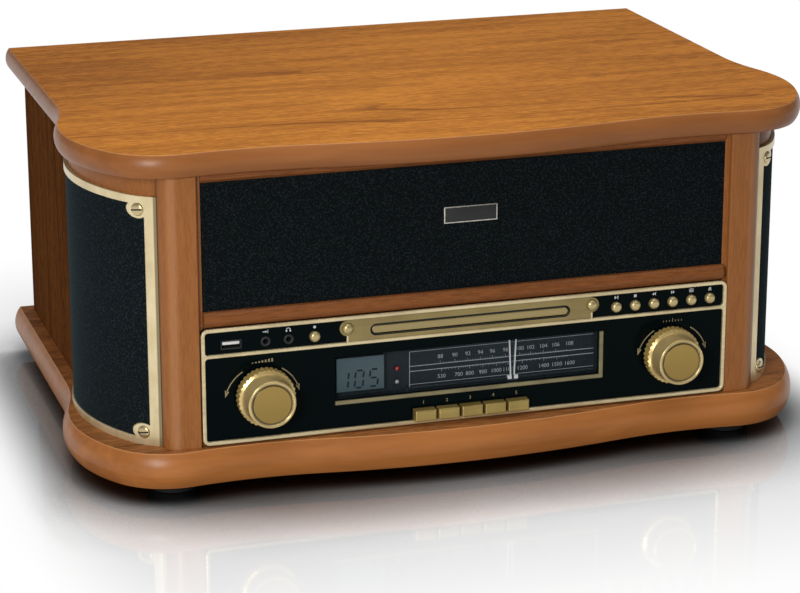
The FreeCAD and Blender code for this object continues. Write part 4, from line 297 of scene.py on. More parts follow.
TRIM_GILT = gilt("corner_gilt", (0.78, 0.65, 0.4), (0.62, 0.5, 0.28), 0.26, (90.0, 90.0, 20.0), rim=201.6)
FRAME_GILT = gilt("frame_gilt", (0.72, 0.6, 0.36), (0.54, 0.44, 0.25), 0.24, BRUSHED)
STRIP_GILT = gilt("dial_strip_gilt", (0.27, 0.23, 0.12), (0.17, 0.145, 0.075), 0.3, BRUSHED)
PLATE_GILT = gilt("disc_plate_gilt", (0.31, 0.235, 0.09), (0.235, 0.175, 0.065), 0.34, LONG_BRUSHED)
KEY_GILT = gilt("key_gilt", (0.41, 0.295, 0.09), (0.3, 0.215, 0.06), 0.3, (40.0, 700.0, 700.0), 0.5, 0.9)
BUTTON_GILT = gilt("button_gilt", (0.56, 0.45, 0.22), (0.42, 0.33, 0.15), 0.24)
SCREW_GILT = gilt("screw_brass", (0.62, 0.5, 0.27), (0.42, 0.33, 0.17), 0.22, FINE, 0.7)

# The tray's gilt front reaches back to this place along Y.
TRAY_FRONT = -147.2


def tray_finish():
    """Disc tray: black moulding behind, and a gilt front that shows in the slot of its plate."""
    f = Finish("disc_tray_gilt_front")
    front = 1.0 - f.past(f.axes()[1], TRAY_FRONT, TRAY_FRONT + 0.6)
    brush = f.noise(f.stretched(*LONG_BRUSHED), 1.0, 3.0, 0.6)
    gold = f.mix(brush, (0.29, 0.22, 0.09), (0.4, 0.31, 0.14))
    black = f.mix(brush, (0.01, 0.01, 0.011), (0.026, 0.026, 0.027))
    return f.surface(Base_Color=f.mix(front, black, gold), Metallic=front * 0.55, Roughness=0.32 + brush * 0.14,
                     Normal=f.bump(brush, 0.06, 0.2, 0.8))


TRAY_GILT = tray_finish()

# Knobs: where their middles are, the face and the toothed skirt along Y, and the radii of disc and groove.
KNOB_X, KNOB_Z = 136.8, 65.2
KNOB_FACE, KNOB_SKIRT = -173.4, -163.0
KNOB_DISC, KNOB_GROOVE = 12.0, 13.0


def knob_gilt(name, middle_x):
    """Turned gold knob: bright bead, dark groove, and a flat disc with fine turning marks."""
    f = Finish(name)
    x, y, z = f.axes()
    radius = f.distance(x - middle_x * MM, z - KNOB_Z * MM)
    marks = f.noise(f.joined(radius * 2600.0, 0.0, 0.0), 1.0, 3.0, 0.6)
    cloud = f.noise(f.place(), 70.0, 2.0)
    front = 1.0 - f.past(y, KNOB_FACE, KNOB_FACE + 0.6)
    outside = f.past(radius, KNOB_DISC, KNOB_DISC + 0.2)
    disc = front * (1.0 - outside)
    groove = front * outside * (1.0 - f.past(radius, KNOB_GROOVE, KNOB_GROOVE + 0.2))
    skirt = f.past(y, KNOB_SKIRT, KNOB_SKIRT + 1.4)
    # Painted shade and light: the disc is darker at the bottom and lighter at the top.
    slope = f.past(z, KNOB_Z - 14.0, KNOB_Z + 14.0)
    gold = f.mix(cloud, (0.5, 0.37, 0.15), (0.62, 0.48, 0.22))
    # Painted highlight: the skirt's teeth are a lighter gold than the rest.
    lit_tooth_gold = f.mix(cloud, (0.58, 0.4, 0.12), (0.7, 0.5, 0.18))
    face_gold = f.mix(slope * 0.6 + marks * 0.4, (0.27, 0.175, 0.04), (0.37, 0.245, 0.06))
    faced = f.mix(disc, f.mix(skirt, gold, lit_tooth_gold), face_gold)
    return f.surface(Base_Color=f.mix(groove * 0.85, faced, (0.05, 0.036, 0.014)), Metallic=0.5,
                     Roughness=0.26 + marks * 0.14 * disc, Normal=f.bump(marks * disc, 0.08, 0.2, 0.6))


VOLUME_GILT = knob_gilt("volume_gilt", -KNOB_X)
TUNING_GILT = knob_gilt("tuning_gilt", KNOB_X)


# Plastics, glass and rubber.

def moulded(name, tint, rough, grain=1400.0, specular=0.3, strength=0.12):
    """Moulded plastic with a fine grain and a faintly uneven colour."""
    f = Finish(name)
    pebble = f.noise(f.place(), grain, 2.0)
    cloud = f.noise(f.place(), 30.0, 3.0)
    tone = f.mix(f.fade(cloud * 0.6 + pebble * 0.4, 0.3, 0.7), shaded(tint, 0.62), tint)
    return f.surface(Base_Color=tone, Roughness=rough + pebble * 0.12, Specular=specular,
                     Normal=f.bump(pebble, strength, 0.2))


BLACK_PLASTIC = moulded("black_moulding", (0.022, 0.022, 0.023), 0.42)
DECK_PLASTIC = moulded("deck_moulding", (0.03, 0.03, 0.031), 0.5, 900.0, 0.3, 0.3)
CONE_PLASTIC = moulded("speaker_paper", (0.02, 0.02, 0.02), 0.75, 500.0, 0.15, 0.4)
WHITE_PLASTIC = moulded("white_moulding", (0.82, 0.82, 0.78), 0.35, 1200.0, 0.4, 0.05)
RED_LENS = moulded("red_lens", (0.6, 0.035, 0.03), 0.2, 600.0, 0.5, 0.04)
PALE_LENS = moulded("pale_lens", (0.42, 0.42, 0.4), 0.2, 600.0, 0.5, 0.04)
RUBBER = moulded("black_rubber", (0.018, 0.018, 0.018), 0.78, 700.0, 0.2, 0.35)


def gloss_black():
    """Polished black panel: almost no colour, faint dust and a slow ripple in the gloss."""
    f = Finish("fascia_black")
    dust = f.fade(f.noise(f.place(), 1900.0, 3.0), 0.68, 0.8)
    ripple = f.noise(f.place(), 24.0, 2.0)
    tone = f.mix(dust * 0.35, (0.0008, 0.003, 0.0035), (0.008, 0.011, 0.012))
    return f.surface(Base_Color=tone, Roughness=0.1 + ripple * 0.06 + dust * 0.1, Specular=0.03,
                     Normal=f.bump(ripple, 0.02, 0.4))


def slate():
    """Dial plate: dark slate with a faint vertical brushing."""
    f = Finish("dial_slate")
    brush = f.noise(f.stretched(900, 20, 12), 1.0, 3.0)
    cloud = f.noise(f.place(), 22.0, 2.0)
    tone = f.mix(f.fade(brush * 0.5 + cloud * 0.5, 0.3, 0.7), (0.011, 0.016, 0.02), (0.019, 0.026, 0.031))
    return f.surface(Base_Color=tone, Roughness=0.5 + brush * 0.1, Specular=0.15,
                     Normal=f.bump(brush, 0.05, 0.1))


def clear_window():
    """Dial window: clear and dull, with faint upright smears."""
    f = Finish("clear_window")
    smear = f.noise(f.stretched(18, 18, 60), 1.0, 3.0)
    return f.surface(Base_Color=(0.02, 0.03, 0.035, 1.0), Roughness=0.04 + smear * 0.05, Specular=0.06,
                     Alpha=0.03 + smear * 0.03)


# The pointer's wedge: its place, half width at the foot, how much that grows to the top, and its back.
POINTER_X, POINTER_FOOT, POINTER_TALL = 30.6, 56.5, 27.3
POINTER_HALF, POINTER_FLARE, POINTER_BACK = 1.4, 1.2, -145.7


def clear_pointer():
    """Clear wedge of the pointer: its two edges are painted white, and its guide rod is steel grey."""
    f = Finish("pointer_clear")
    x, y, z = f.axes()
    x_mm, z_mm = x * (1 / MM), z * (1 / MM)
    half = POINTER_HALF + (z_mm - POINTER_FOOT) * (POINTER_FLARE / POINTER_TALL)
    edge = f.fade(f.maths("ABSOLUTE", x_mm - POINTER_X), half - 0.75, half - 0.55)
    blade = 1.0 - f.past(y, POINTER_BACK, POINTER_BACK + 0.1)
    shank = blade * f.past(z, POINTER_FOOT - 0.3, POINTER_FOOT)
    film = f.noise(f.place(), 900.0, 2.0)
    tone = f.mix(edge * shank, f.mix(film, (0.05, 0.06, 0.068), (0.09, 0.1, 0.11)), (0.78, 0.8, 0.8))
    return f.surface(Base_Color=tone, Roughness=0.3 + film * 0.1, Specular=0.1,
                     Alpha=1.0 - (1.0 - edge) * shank * 0.75)


def display_glass():
    """Liquid crystal glass: blue-grey, a little lighter towards one side."""
    f = Finish("display_glass")
    x, _, z = f.axes()
    cell = f.noise(f.place(), 2200.0, 2.0)
    slope = f.past(x + z * 0.4, -62.0, -26.0)
    tone = f.mix(slope * 0.7 + cell * 0.3, (0.052, 0.086, 0.102), (0.082, 0.122, 0.138))
    return f.surface(Base_Color=tone, Roughness=0.2 + cell * 0.06, Specular=0.2)


DISPLAY_GLASS = display_glass()

# The platter's middle, and the distance between the rings of its mat.
PLATTER_X, PLATTER_Y = -42.0, 7.5
RIB_PITCH = 3.2


def ringed_mat():
    """Rubber mat with moulded rings."""
    f = Finish("mat_rings")
    x, y = f.axes()[:2]
    radius = f.distance(x - PLATTER_X * MM, y - PLATTER_Y * MM)
    rib = f.maths("SINE", radius * (2 * math.pi / (RIB_PITCH * MM))) * 0.5 + 0.5
    pebble = f.noise(f.place(), 900.0, 3.0)
    tone = f.mix(rib * 0.6 + pebble * 0.4, (0.01, 0.01, 0.01), (0.032, 0.032, 0.033))
    return f.surface(Base_Color=tone, Roughness=0.7 + pebble * 0.2, Specular=0.2,
                     Normal=f.bump(rib + pebble * 0.3, 0.6, 0.6))


# Metals.

def metal(name, tint, shadow, rough, streaks):
    """Bare metal with directional brushing and a few fine scratches."""
    f = Finish(name)
    brush = f.noise(f.stretched(*streaks), 1.0, 4.0, 0.62)
    scratch = f.fade(f.noise(f.stretched(*[cells * 0.4 for cells in streaks]), 1.7, 2.0), 0.6, 0.68)
    tone = f.mix(f.fade(brush, 0.3, 0.7), shadow, tint)
    return f.surface(Base_Color=f.mix(scratch * 0.15, tone, shadow), Metallic=1.0, Roughness=rough + brush * 0.18,
                     Normal=f.bump(brush, 0.08, 0.2))


STEEL = metal("plated_steel", (0.46, 0.46, 0.47), (0.3, 0.3, 0.31), 0.3, (60.0, 900.0, 900.0))
NICKEL = metal("screw_nickel", (0.6, 0.57, 0.5), (0.4, 0.38, 0.32), 0.28, FINE)
ARM_METAL = metal("arm_aluminium", (0.72, 0.72, 0.74), (0.5, 0.5, 0.52), 0.24, (900.0, 40.0, 900.0))


def turned_metal():
    """Turned aluminium: fine rings round the platter's middle."""
    f = Finish("platter_rings")
    x, y, z = f.axes()
    radius = f.distance(x - PLATTER_X * MM, y - PLATTER_Y * MM)
    rings = f.noise(f.joined(radius * 1800.0, z * 300.0, 0.0), 1.0, 4.0, 0.6)
    cloud = f.noise(f.place(), 18.0, 3.0)
    tone = f.mix(f.fade(rings * 0.7 + cloud * 0.3, 0.3, 0.7), (0.42, 0.42, 0.44), (0.66, 0.66, 0.68))
    return f.surface(Base_Color=tone, Metallic=1.0, Roughness=0.26 + rings * 0.18,
                     Normal=f.bump(rings, 0.1, 0.2))


# Boards and ink.

def fibre_board():
    """Black stained fibreboard at the back: short fibres pressed flat."""
    f = Finish("fibre_board")
    fibre = f.noise(f.stretched(260, 260, 900), 1.0, 4.0, 0.7)
    fleck = f.fade(f.noise(f.stretched(900, 900, 300), 1.0, 2.0), 0.6, 0.72)
    tone = f.mix(f.fade(fibre, 0.3, 0.7), (0.014, 0.012, 0.01), (0.04, 0.034, 0.028))
    return f.surface(Base_Color=f.mix(fleck * 0.3, tone, (0.075, 0.06, 0.045)), Roughness=0.66 + fibre * 0.15,
                     Specular=0.2, Normal=f.bump(fibre, 0.3, 0.3))


# Height of the circuit board's upper face.
LAMINATE_TOP = 43.0


def laminate():
    """Circuit board: green laminate with copper lanes, and dark parts standing on it."""
    f = Finish("board_laminate")
    lanes = f.node("TexBrick", {"offset": 0.37}, {"Vector": f.place(), "Scale": 90.0, "Mortar Size": 0.03}, "Fac")
    grime = f.noise(f.place(), 60.0, 3.0)
    low = f.mix(lanes * 0.4, (0.02, 0.1, 0.035), (0.05, 0.2, 0.06))
    high = f.mix(grime, (0.05, 0.048, 0.045), (0.12, 0.115, 0.11))
    standing = f.past(f.axes()[2], LAMINATE_TOP, LAMINATE_TOP + 0.4)
    return f.surface(Base_Color=f.mix(standing, low, high), Roughness=0.45 + grime * 0.2,
                     Normal=f.bump(lanes, 0.1, 0.2))


def print_ink(name, tint):
    """Printed ink with a slightly thin, uneven film."""
    f = Finish(name)
    thin = f.noise(f.place(), 1500.0, 3.0)
    return f.surface(Base_Color=f.mix(f.fade(thin, 0.3, 0.62), shaded(tint, 0.7), tint),
                     Roughness=0.5 + thin * 0.1, Specular=0.2)


GOLD_INK = print_ink("gold_ink", (0.33, 0.27, 0.15))
WHITE_INK = print_ink("white_ink", (0.66, 0.68, 0.68))
DIAL_INK = print_ink("dial_ink", (0.42, 0.47, 0.5))
# The dark ink also stands for painted shade: the screws' slots and the border round the disc plate's slot.
DARK_INK_AND_SHADE = print_ink("dark_ink_and_painted_shade", (0.008, 0.012, 0.016))


# Finishes of the nodes, which keep their own mesh.
FINISHES = {
    LID_WOOD: ["lid"],
    BASE_WOOD: ["base_board"],
    POST_WOOD: ["front_posts"],
    CORNER_WOOD: ["corner_panels"],
    SHADED_SIDE_WOOD: ["left_side_panel", "right_side_panel"],
    RAIL_WOOD: ["top_rail", "middle_rail"],
    FRONT_CLOTH: ["front_grille"],
    CORNER_CLOTH: ["corner_grilles"],
    TRIM_GILT: ["corner_trims"],
    FRAME_GILT: ["fascia_trim"],
    STRIP_GILT: ["dial_bezel"],
    PLATE_GILT: ["disc_escutcheon"],
    KEY_GILT: ["tuner_key", "disc_key", "tape_key", "phono_key", "tone_key"],
    BUTTON_GILT: ["play_button", "stop_button", "previous_button", "next_button", "program_button",
                  "tray_button", "record_button"],
    VOLUME_GILT: ["volume_knob"],
    TUNING_GILT: ["tuning_knob"],
    gloss_black(): ["fascia_panel"],
    TRAY_GILT: ["disc_tray"],
    slate(): ["dial_scale"],
    clear_window(): ["dial_window"],
    clear_pointer(): ["dial_pointer"],
    BLACK_PLASTIC: ["display_module", "disc_mechanism", "cassette_bezel", "cassette_flap", "eject_key",
                    "tonearm_base", "cue_lever", "speed_selector", "rear_fittings", "cartridge",
                    "motor_pulley", "front_sockets"],
    DECK_PLASTIC: ["deck_plate"],
    CONE_PLASTIC: ["speaker_drivers"],
    RUBBER: ["feet", "drive_belt"],
    ringed_mat(): ["platter_mat"],
    turned_metal(): ["platter"],
    ARM_METAL: ["tonearm"],
    STEEL: ["spindle", "hinge_brackets", "lid_fittings", "lid_stay", "drive_motor", "control_pots"],
    fibre_board(): ["rear_panel"],
    laminate(): ["main_board"],
}
for finish, names in FINISHES.items():
    for name in names:
        for slot in nodes[name].material_slots:
            slot.material = finish


# Pieces made here.

# A turn from +Z to the front, and how tall a figure is as a share of its font's size.
FRONTWARD = Matrix.Rotation(math.pi / 2, 4, "X")
CAPITAL_SHARE = 0.72


def place_piece(name, bm, body, finish, sharp=None):
    """Makes an object of a bmesh and sets it on its body. Edges that turn less than sharp degrees are smooth."""
    bmesh.ops.scale(bm, vec=(MM, MM, MM), verts=bm.verts)
    mesh = bpy.data.meshes.new(name)
    if sharp is not None:
        limit = math.radians(sharp)
        for face in bm.faces:
            face.smooth = True
        for edge in bm.edges:
            edge.smooth = len(edge.link_faces) == 2 and edge.calc_face_angle(0.0) < limit
    bm.to_mesh(mesh)
    bm.free()
    obj = bpy.data.objects.new(name, mesh)
    bpy.context.scene.collection.objects.link(obj)
    mesh.materials.append(finish)
    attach(obj, body)


def facing(point, out):
    """A frame at a point, with its Z along a direction."""
    turn = Vector((0, 0, 1)).rotation_difference(Vector(out).normalized()).to_matrix().to_4x4()
    return Matrix.Translation(point) @ turn


def linked(start):
    """All vertices joined by edges to the ones given."""
    found, todo = set(start), list(start)
    while todo:
        for edge in todo.pop().link_edges:
            for vert in edge.verts:
                if vert not in found:
                    found.add(vert)
                    todo.append(vert)
    return found


def add_slab(bm, low, high, bevel, segments=2):
    """A box between two corners, with its edges rounded over. Gives its vertices."""
    low, high = Vector(low), Vector(high)
    middle, size = (low + high) / 2, high - low
    stretch = Matrix.Translation(middle) @ Matrix.Diagonal((*size, 1.0))
    made = bmesh.ops.create_cube(bm, size=1.0, matrix=stretch)
    edges = list({edge for vert in made["verts"] for edge in vert.link_edges})
    bevelled = bmesh.ops.bevel(bm, geom=edges, offset=bevel, segments=segments, affect="EDGES", profile=0.5,
                               material=-1)
    return linked(bevelled["verts"])


def add_turned(bm, profile, matrix, steps):
    """A profile of (radius, height) points spun about its own Z, then put in place."""
    verts = [bm.verts.new((radius, 0.0, height)) for radius, height in profile]
    edges = [bm.edges.new(pair) for pair in zip(verts, verts[1:])]
    bmesh.ops.spin(bm, geom=verts + edges, cent=(0, 0, 0), axis=(0, 0, 1), angle=2 * math.pi, steps=steps,
                   use_merge=True)
    spun = linked(verts)
    bmesh.ops.remove_doubles(bm, verts=list(spun), dist=1e-4)
    spun = [vert for vert in spun if vert.is_valid]
    bmesh.ops.transform(bm, matrix=matrix, verts=spun)
    bmesh.ops.recalc_face_normals(bm, faces=list({face for vert in spun for face in vert.link_faces}))


def add_plate(bm, x0, z0, x1, z1, y):
    """A flat print that faces the front."""
    size = Matrix.Diagonal((x1 - x0, z1 - z0, 1.0, 1.0))
    middle = Matrix.Translation(((x0 + x1) / 2, y, (z0 + z1) / 2))
    bmesh.ops.create_grid(bm, x_segments=1, y_segments=1, size=0.5, matrix=middle @ FRONTWARD @ size)


def turn_to_front(face):
    face.normal_update()
    if face.normal.y > 0:
        face.normal_flip()


def add_shape(bm, points, y):
    """A flat printed shape, given by its corners seen from the front."""
    turn_to_front(bm.faces.new([bm.verts.new((x, y, z)) for x, z in points]))


def add_arc(bm, x, z, radius, width, start, end, y):
    """A flat printed arc between two angles, in degrees from +X towards +Z."""
    angle = math.radians(start)
    ends = [bm.verts.new((x + r * math.cos(angle), y, z + r * math.sin(angle)))
            for r in (radius - width / 2, radius + width / 2)]
    bmesh.ops.spin(bm, geom=ends + [bm.edges.new(ends)], cent=(x, y, z), axis=(0, -1, 0),
                   angle=math.radians(end - start), steps=16)
    for face in {face for vert in linked(ends) for face in vert.link_faces}:
        turn_to_front(face)


def add_text(bm, words, x, z, height, y, turn=FRONTWARD):
    """Generic figures, made a mesh and centred on a point."""
    curve = bpy.data.curves.new("figures", "FONT")
    curve.body = words
    curve.size = height / CAPITAL_SHARE
    curve.align_x = "CENTER"
    curve.resolution_u = 3
    holder = bpy.data.objects.new("figures", curve)
    bpy.context.scene.collection.objects.link(holder)
    bpy.context.view_layer.update()
    mesh = bpy.data.meshes.new_from_object(holder.evaluated_get(bpy.context.evaluated_depsgraph_get()))
    mesh.transform(Matrix.Translation((x, y, z)) @ turn @ Matrix.Translation((0, -height / 2, 0)))
    bm.from_mesh(mesh)
    bpy.data.objects.remove(holder)
    bpy.data.curves.remove(curve)
    bpy.data.meshes.remove(mesh)


# Badge plate on the front cloth, left bare.
CLOTH_Y = -148.5
BADGE_LEFT, BADGE_RIGHT, BADGE_LOW, BADGE_HIGH = -17.3, 18.3, 164.7, 175.6
BADGE_RIM = 0.8
bm = bmesh.new()
add_slab(bm, (BADGE_LEFT, CLOTH_Y - 1.2, BADGE_LOW), (BADGE_RIGHT, CLOTH_Y, BADGE_HIGH), 0.35)
place_piece("badge_rim", bm, "cabinet", NICKEL, 40)
bm = bmesh.new()
add_slab(bm, (BADGE_LEFT + BADGE_RIM, CLOTH_Y - 1.35, BADGE_LOW + BADGE_RIM),
         (BADGE_RIGHT - BADGE_RIM, CLOTH_Y - 0.6, BADGE_HIGH - BADGE_RIM), 0.1)
place_piece("badge_field", bm, "cabinet", BLACK_PLASTIC, 40)


# Screws. Their sizes are shares of the head's radius.
HEAD_PROFILE = [(0.0, 0.33), (0.4, 0.32), (0.7, 0.28), (0.9, 0.19), (1.0, 0.07), (1.01, -0.05)]
SLOT_CORNER = Vector((0.86, 0.11, 0.35))
SLOT_FLOOR = 0.15


def screw(name, matrix, radius, finish, angles):
    """A domed head with a dark slot, or with a cross of two slots. The slots are dark bars on the head: painted
    shade of their recess.
    """
    bm = bmesh.new()
    add_turned(bm, [(radius * r, radius * h) for r, h in HEAD_PROFILE], matrix, 36)
    place_piece(name, bm, "cabinet", finish, 50)
    bm = bmesh.new()
    high = SLOT_CORNER * radius
    for angle in angles:
        added = add_slab(bm, (-high.x, -high.y, SLOT_FLOOR * radius), high, 0.04, 1)
        turned = matrix @ Matrix.Rotation(math.radians(angle), 4, "Z")
        bmesh.ops.transform(bm, matrix=turned, verts=list(added))
    place_piece(name + "_slot", bm, "cabinet", DARK_INK_AND_SHADE, 40)


TRIM_EAR, EAR_OUT = (210.1, -135.2), (0.669, -0.744)
for side, word in ((-1, "left"), (1, "right")):
    for z, level in ((41.9, "low"), (186.6, "high")):
        ear = facing((TRIM_EAR[0] * side, TRIM_EAR[1], z), (EAR_OUT[0] * side, EAR_OUT[1], 0.0))
        screw("trim_screw_%s_%s" % (level, word), ear, 4.2, SCREW_GILT, (35.0 * side,))

low, high = [Vector(corner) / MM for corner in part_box("rear_panel")]
for across, row in ((0.04, "a"), (0.35, "b"), (0.65, "c"), (0.96, "d")):
    for up, level in ((0.05, "low"), (0.95, "high")):
        spot = (low.x + (high.x - low.x) * across, high.y, low.z + (high.z - low.z) * up)
        screw("rear_screw_%s_%s" % (level, row), facing(spot, (0, 1, 0)), 2.6, NICKEL, (20.0, 110.0))


# White and red inserts in the mouths of the line sockets at the back.
SOCKET_END = 173.5
INSERT_PROFILE = [(1.75, 0.0), (1.9, 0.3), (3.2, 0.3), (3.6, 0.0)]
for x, word in ((111.0, "inner"), (129.0, "outer")):
    for z, level, finish in ((81.0, "upper", WHITE_PLASTIC), (63.0, "lower", RED_LENS)):
        bm = bmesh.new()
        add_turned(bm, INSERT_PROFILE, facing((x, SOCKET_END, z), (0, 1, 0)), 28)
        place_piece("socket_insert_%s_%s" % (level, word), bm, "cabinet", finish, 60)


# Gold print on the fascia: turning arrows and rows of marks by the knobs, numbers over the keys.
INK_LIFT = 0.06
PANEL_Y = -152.0
PRINT_Y = PANEL_Y - INK_LIFT
ARROW_Z, ARROW_RADIUS, ARROW_BARB = 59.8, 24.6, 1.5
MARKS, MARK_Z, MARK_STEP = 7, 85.8, 2.1
VOLUME_MARK_X, TUNING_MARK_X = -144.0, 132.7
KEYS, KEY_STEP, KEY_FIGURE_Z = 5, 15.7, 48.4


def add_arrow(bm, x, start, end):
    """A printed arc round a knob, with a head at its end."""
    add_arc(bm, x, ARROW_Z, ARROW_RADIUS, 0.7, start, end, PRINT_Y)
    ahead = 8.0 if end > start else -8.0
    corners = []
    for radius, angle in ((ARROW_RADIUS - ARROW_BARB, end - ahead * 0.3),
                          (ARROW_RADIUS + ARROW_BARB, end - ahead * 0.3), (ARROW_RADIUS, end + ahead)):
        turn = math.radians(angle)
        corners.append((x + radius * math.cos(turn), ARROW_Z + radius * math.sin(turn)))
    add_shape(bm, corners, PRINT_Y)


bm = bmesh.new()
for x in (-KNOB_X - 0.6, KNOB_X + 2.4):
    add_arrow(bm, x, 121.0, 160.0)
    add_arrow(bm, x, 59.0, 20.0)
for k in range(MARKS):
    rising, level = 0.5 + 0.3 * k, 2.4 if k == MARKS // 2 else 1.3
    for x, wide, tall in ((VOLUME_MARK_X, 1.1, rising), (TUNING_MARK_X, 0.4, level)):
        left = x + MARK_STEP * k
        add_plate(bm, left, MARK_Z, left + wide, MARK_Z + tall, PRINT_Y)
for k in range(KEYS):
    add_text(bm, str(k + 1), KEY_STEP * (k - KEYS // 2), KEY_FIGURE_Z, 2.3, PRINT_Y)
place_piece("fascia_print", bm, "cabinet", GOLD_INK)


# White signs over the buttons and sockets, in shares of the sign's size. A plate is two corners, a shape is its
# outline, and an arc is a height, a radius, a width and two angles.
STRIP_Z, SIGN_Z, SIGN_SIZE = 99.6, 106.0, 1.15
BUTTON_X, BUTTON_STEP = 99.5, 13.1
LINE_X, PHONES_X, RECORD_X = -135.0, -120.1, -103.1
HEADS = (-0.55, 0.55)
SIGNS = {
    "play": {"shapes": [[(-1.1, -1), (0.4, 0), (-1.1, 1)]], "plates": [(0.6, -1, 1.1, 1)]},
    "stop": {"plates": [(-0.8, -0.8, 0.8, 0.8)]},
    "back": {"shapes": [[(x + 0.5, -1), (x - 0.6, 0), (x + 0.5, 1)] for x in HEADS]},
    "forward": {"shapes": [[(x - 0.5, -1), (x + 0.6, 0), (x - 0.5, 1)] for x in HEADS]},
    "rows": {"plates": [(-1.4, z - 0.2, 1.4, z + 0.2) for z in (-0.8, 0.0, 0.8)]},
    "tray": {"shapes": [[(-1, -0.1), (1, -0.1), (0, 1)]], "plates": [(-1, -1, 1, -0.5)]},
    "record": {"arcs": [(0.0, 0.4, 0.8, 0.0, 360.0)]},
    "headphones": {"arcs": [(-0.3, 1.2, 0.35, 0.0, 180.0)],
                   "plates": [(x - 0.4, -1.2, x + 0.4, -0.1) for x in (-1.05, 1.05)]},
    "inward": {"shapes": [[(0, -0.7), (1.1, 0), (0, 0.7)]],
               "plates": [(-1.6, -0.2, 0.1, 0.2), (1.3, -1, 1.6, 1)]},
}


def add_sign(bm, kind, x, z):
    s = SIGN_SIZE
    drawn = SIGNS[kind]
    for points in drawn.get("shapes", []):
        add_shape(bm, [(x + a * s, z + b * s) for a, b in points], PRINT_Y)
    for x0, z0, x1, z1 in drawn.get("plates", []):
        add_plate(bm, x + x0 * s, z + z0 * s, x + x1 * s, z + z1 * s, PRINT_Y)
    for up, radius, width, start, end in drawn.get("arcs", []):
        add_arc(bm, x, z + up * s, radius * s, width * s, start, end, PRINT_Y)


bm = bmesh.new()
for k, kind in enumerate(["play", "stop", "back", "forward", "rows", "tray"]):
    add_sign(bm, kind, BUTTON_X + BUTTON_STEP * k, SIGN_Z)
for kind, x in (("record", RECORD_X), ("headphones", PHONES_X), ("inward", LINE_X)):
    add_sign(bm, kind, x, SIGN_Z - 0.2)
place_piece("strip_print", bm, "cabinet", WHITE_INK)


# Dial print: rules, ticks and plain numbers of two wave bands, each number with its place along X.
DIAL_Y = -144.0 - INK_LIFT
DIAL_LEFT, DIAL_RIGHT, DIAL_LOW, DIAL_HIGH = -38.5, 87.4, 56.2, 80.2
FM_RULE, AM_RULE, LOW_RULE = 70.4, 67.0, 58.2
FM_FIGURES_Z, AM_FIGURES_Z, FIGURE_HEIGHT = 75.4, 62.0, 2.7
TICK, TICK_HALF, TICKS = 1.9, 0.13, 5
FM = {"88": -17.6, "90": -7.8, "92": 1.0, "94": 9.5, "96": 17.7, "98": 26.6, "100": 36.4, "102": 43.8,
      "104": 52.6, "106": 61.1, "108": 70.6}
AM = {"530": -16.7, "700": -5.1, "800": 2.4, "900": 11.4, "1000": 20.4, "1100": 28.5, "1200": 38.3,
      "1400": 53.1, "1500": 62.1, "1600": 70.9}
bm = bmesh.new()
add_plate(bm, DIAL_LEFT, DIAL_LOW, DIAL_LEFT + 0.4, DIAL_HIGH, DIAL_Y)
for z, width in ((DIAL_HIGH, 0.3), (FM_RULE, 0.45), (AM_RULE, 0.45), (LOW_RULE, 0.3), (DIAL_LOW, 0.5)):
    add_plate(bm, DIAL_LEFT, z - width / 2, DIAL_RIGHT, z + width / 2, DIAL_Y)
for row, rule, reach, figures_z in ((FM, FM_RULE, TICK, FM_FIGURES_Z), (AM, AM_RULE, -TICK, AM_FIGURES_Z)):
    for figures, x in row.items():
        add_text(bm, figures, x, figures_z, FIGURE_HEIGHT, DIAL_Y)
    places = list(row.values())
    for a, b in zip(places, places[1:]):
        for k in range(TICKS):
            end = rule + (reach if k == 0 else reach * 0.5)
            x = a + (b - a) * k / TICKS
            add_plate(bm, x - TICK_HALF, min(rule, end), x + TICK_HALF, max(rule, end), DIAL_Y)
place_piece("dial_print", bm, "cabinet", DIAL_INK)


# Dark border round the slot of the disc plate: painted shade of the gap round the tray.
BORDER_Y, BORDER_WIDE = -153.45, 0.8
TRAY_Z, SLOT_HALF, SLOT_ROUND = 100.65, 63.3, 3.5
bm = bmesh.new()
for side, start in ((-1, 90.0), (1, -90.0)):
    add_arc(bm, SLOT_HALF * side, TRAY_Z, SLOT_ROUND, BORDER_WIDE, start, start + 180.0, BORDER_Y)
    z = TRAY_Z + SLOT_ROUND * side
    add_plate(bm, -SLOT_HALF, z - BORDER_WIDE / 2, SLOT_HALF, z + BORDER_WIDE / 2, BORDER_Y)
place_piece("slot_gap_shade", bm, "cabinet", DARK_INK_AND_SHADE)


# Domed caps on the two studs of the disc plate, and a thin upright strip under each.
STUD_X, STUD_Z = 82.0, 103.1
STUD_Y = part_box("disc_escutcheon")[0][1] / MM
STUD_PROFILE = [(0.0, 1.15), (1.2, 1.05), (2.2, 0.75), (2.9, 0.35), (3.2, -0.05)]
STRIP_LOW, STRIP_HIGH, STRIP_HALF, STRIP_DEEP = 93.6, 98.3, 0.6, 1.9
for side, word in ((-1, "left"), (1, "right")):
    x = STUD_X * side
    bm = bmesh.new()
    add_turned(bm, STUD_PROFILE, facing((x, STUD_Y, STUD_Z), (0, -1, 0)), 32)
    place_piece("plate_stud_" + word, bm, "cabinet", BUTTON_GILT, 60)
    bm = bmesh.new()
    add_slab(bm, (x - STRIP_HALF, PANEL_Y - STRIP_DEEP, STRIP_LOW), (x + STRIP_HALF, PANEL_Y, STRIP_HIGH), 0.25)
    place_piece("plate_strip_" + word, bm, "cabinet", FRAME_GILT, 40)


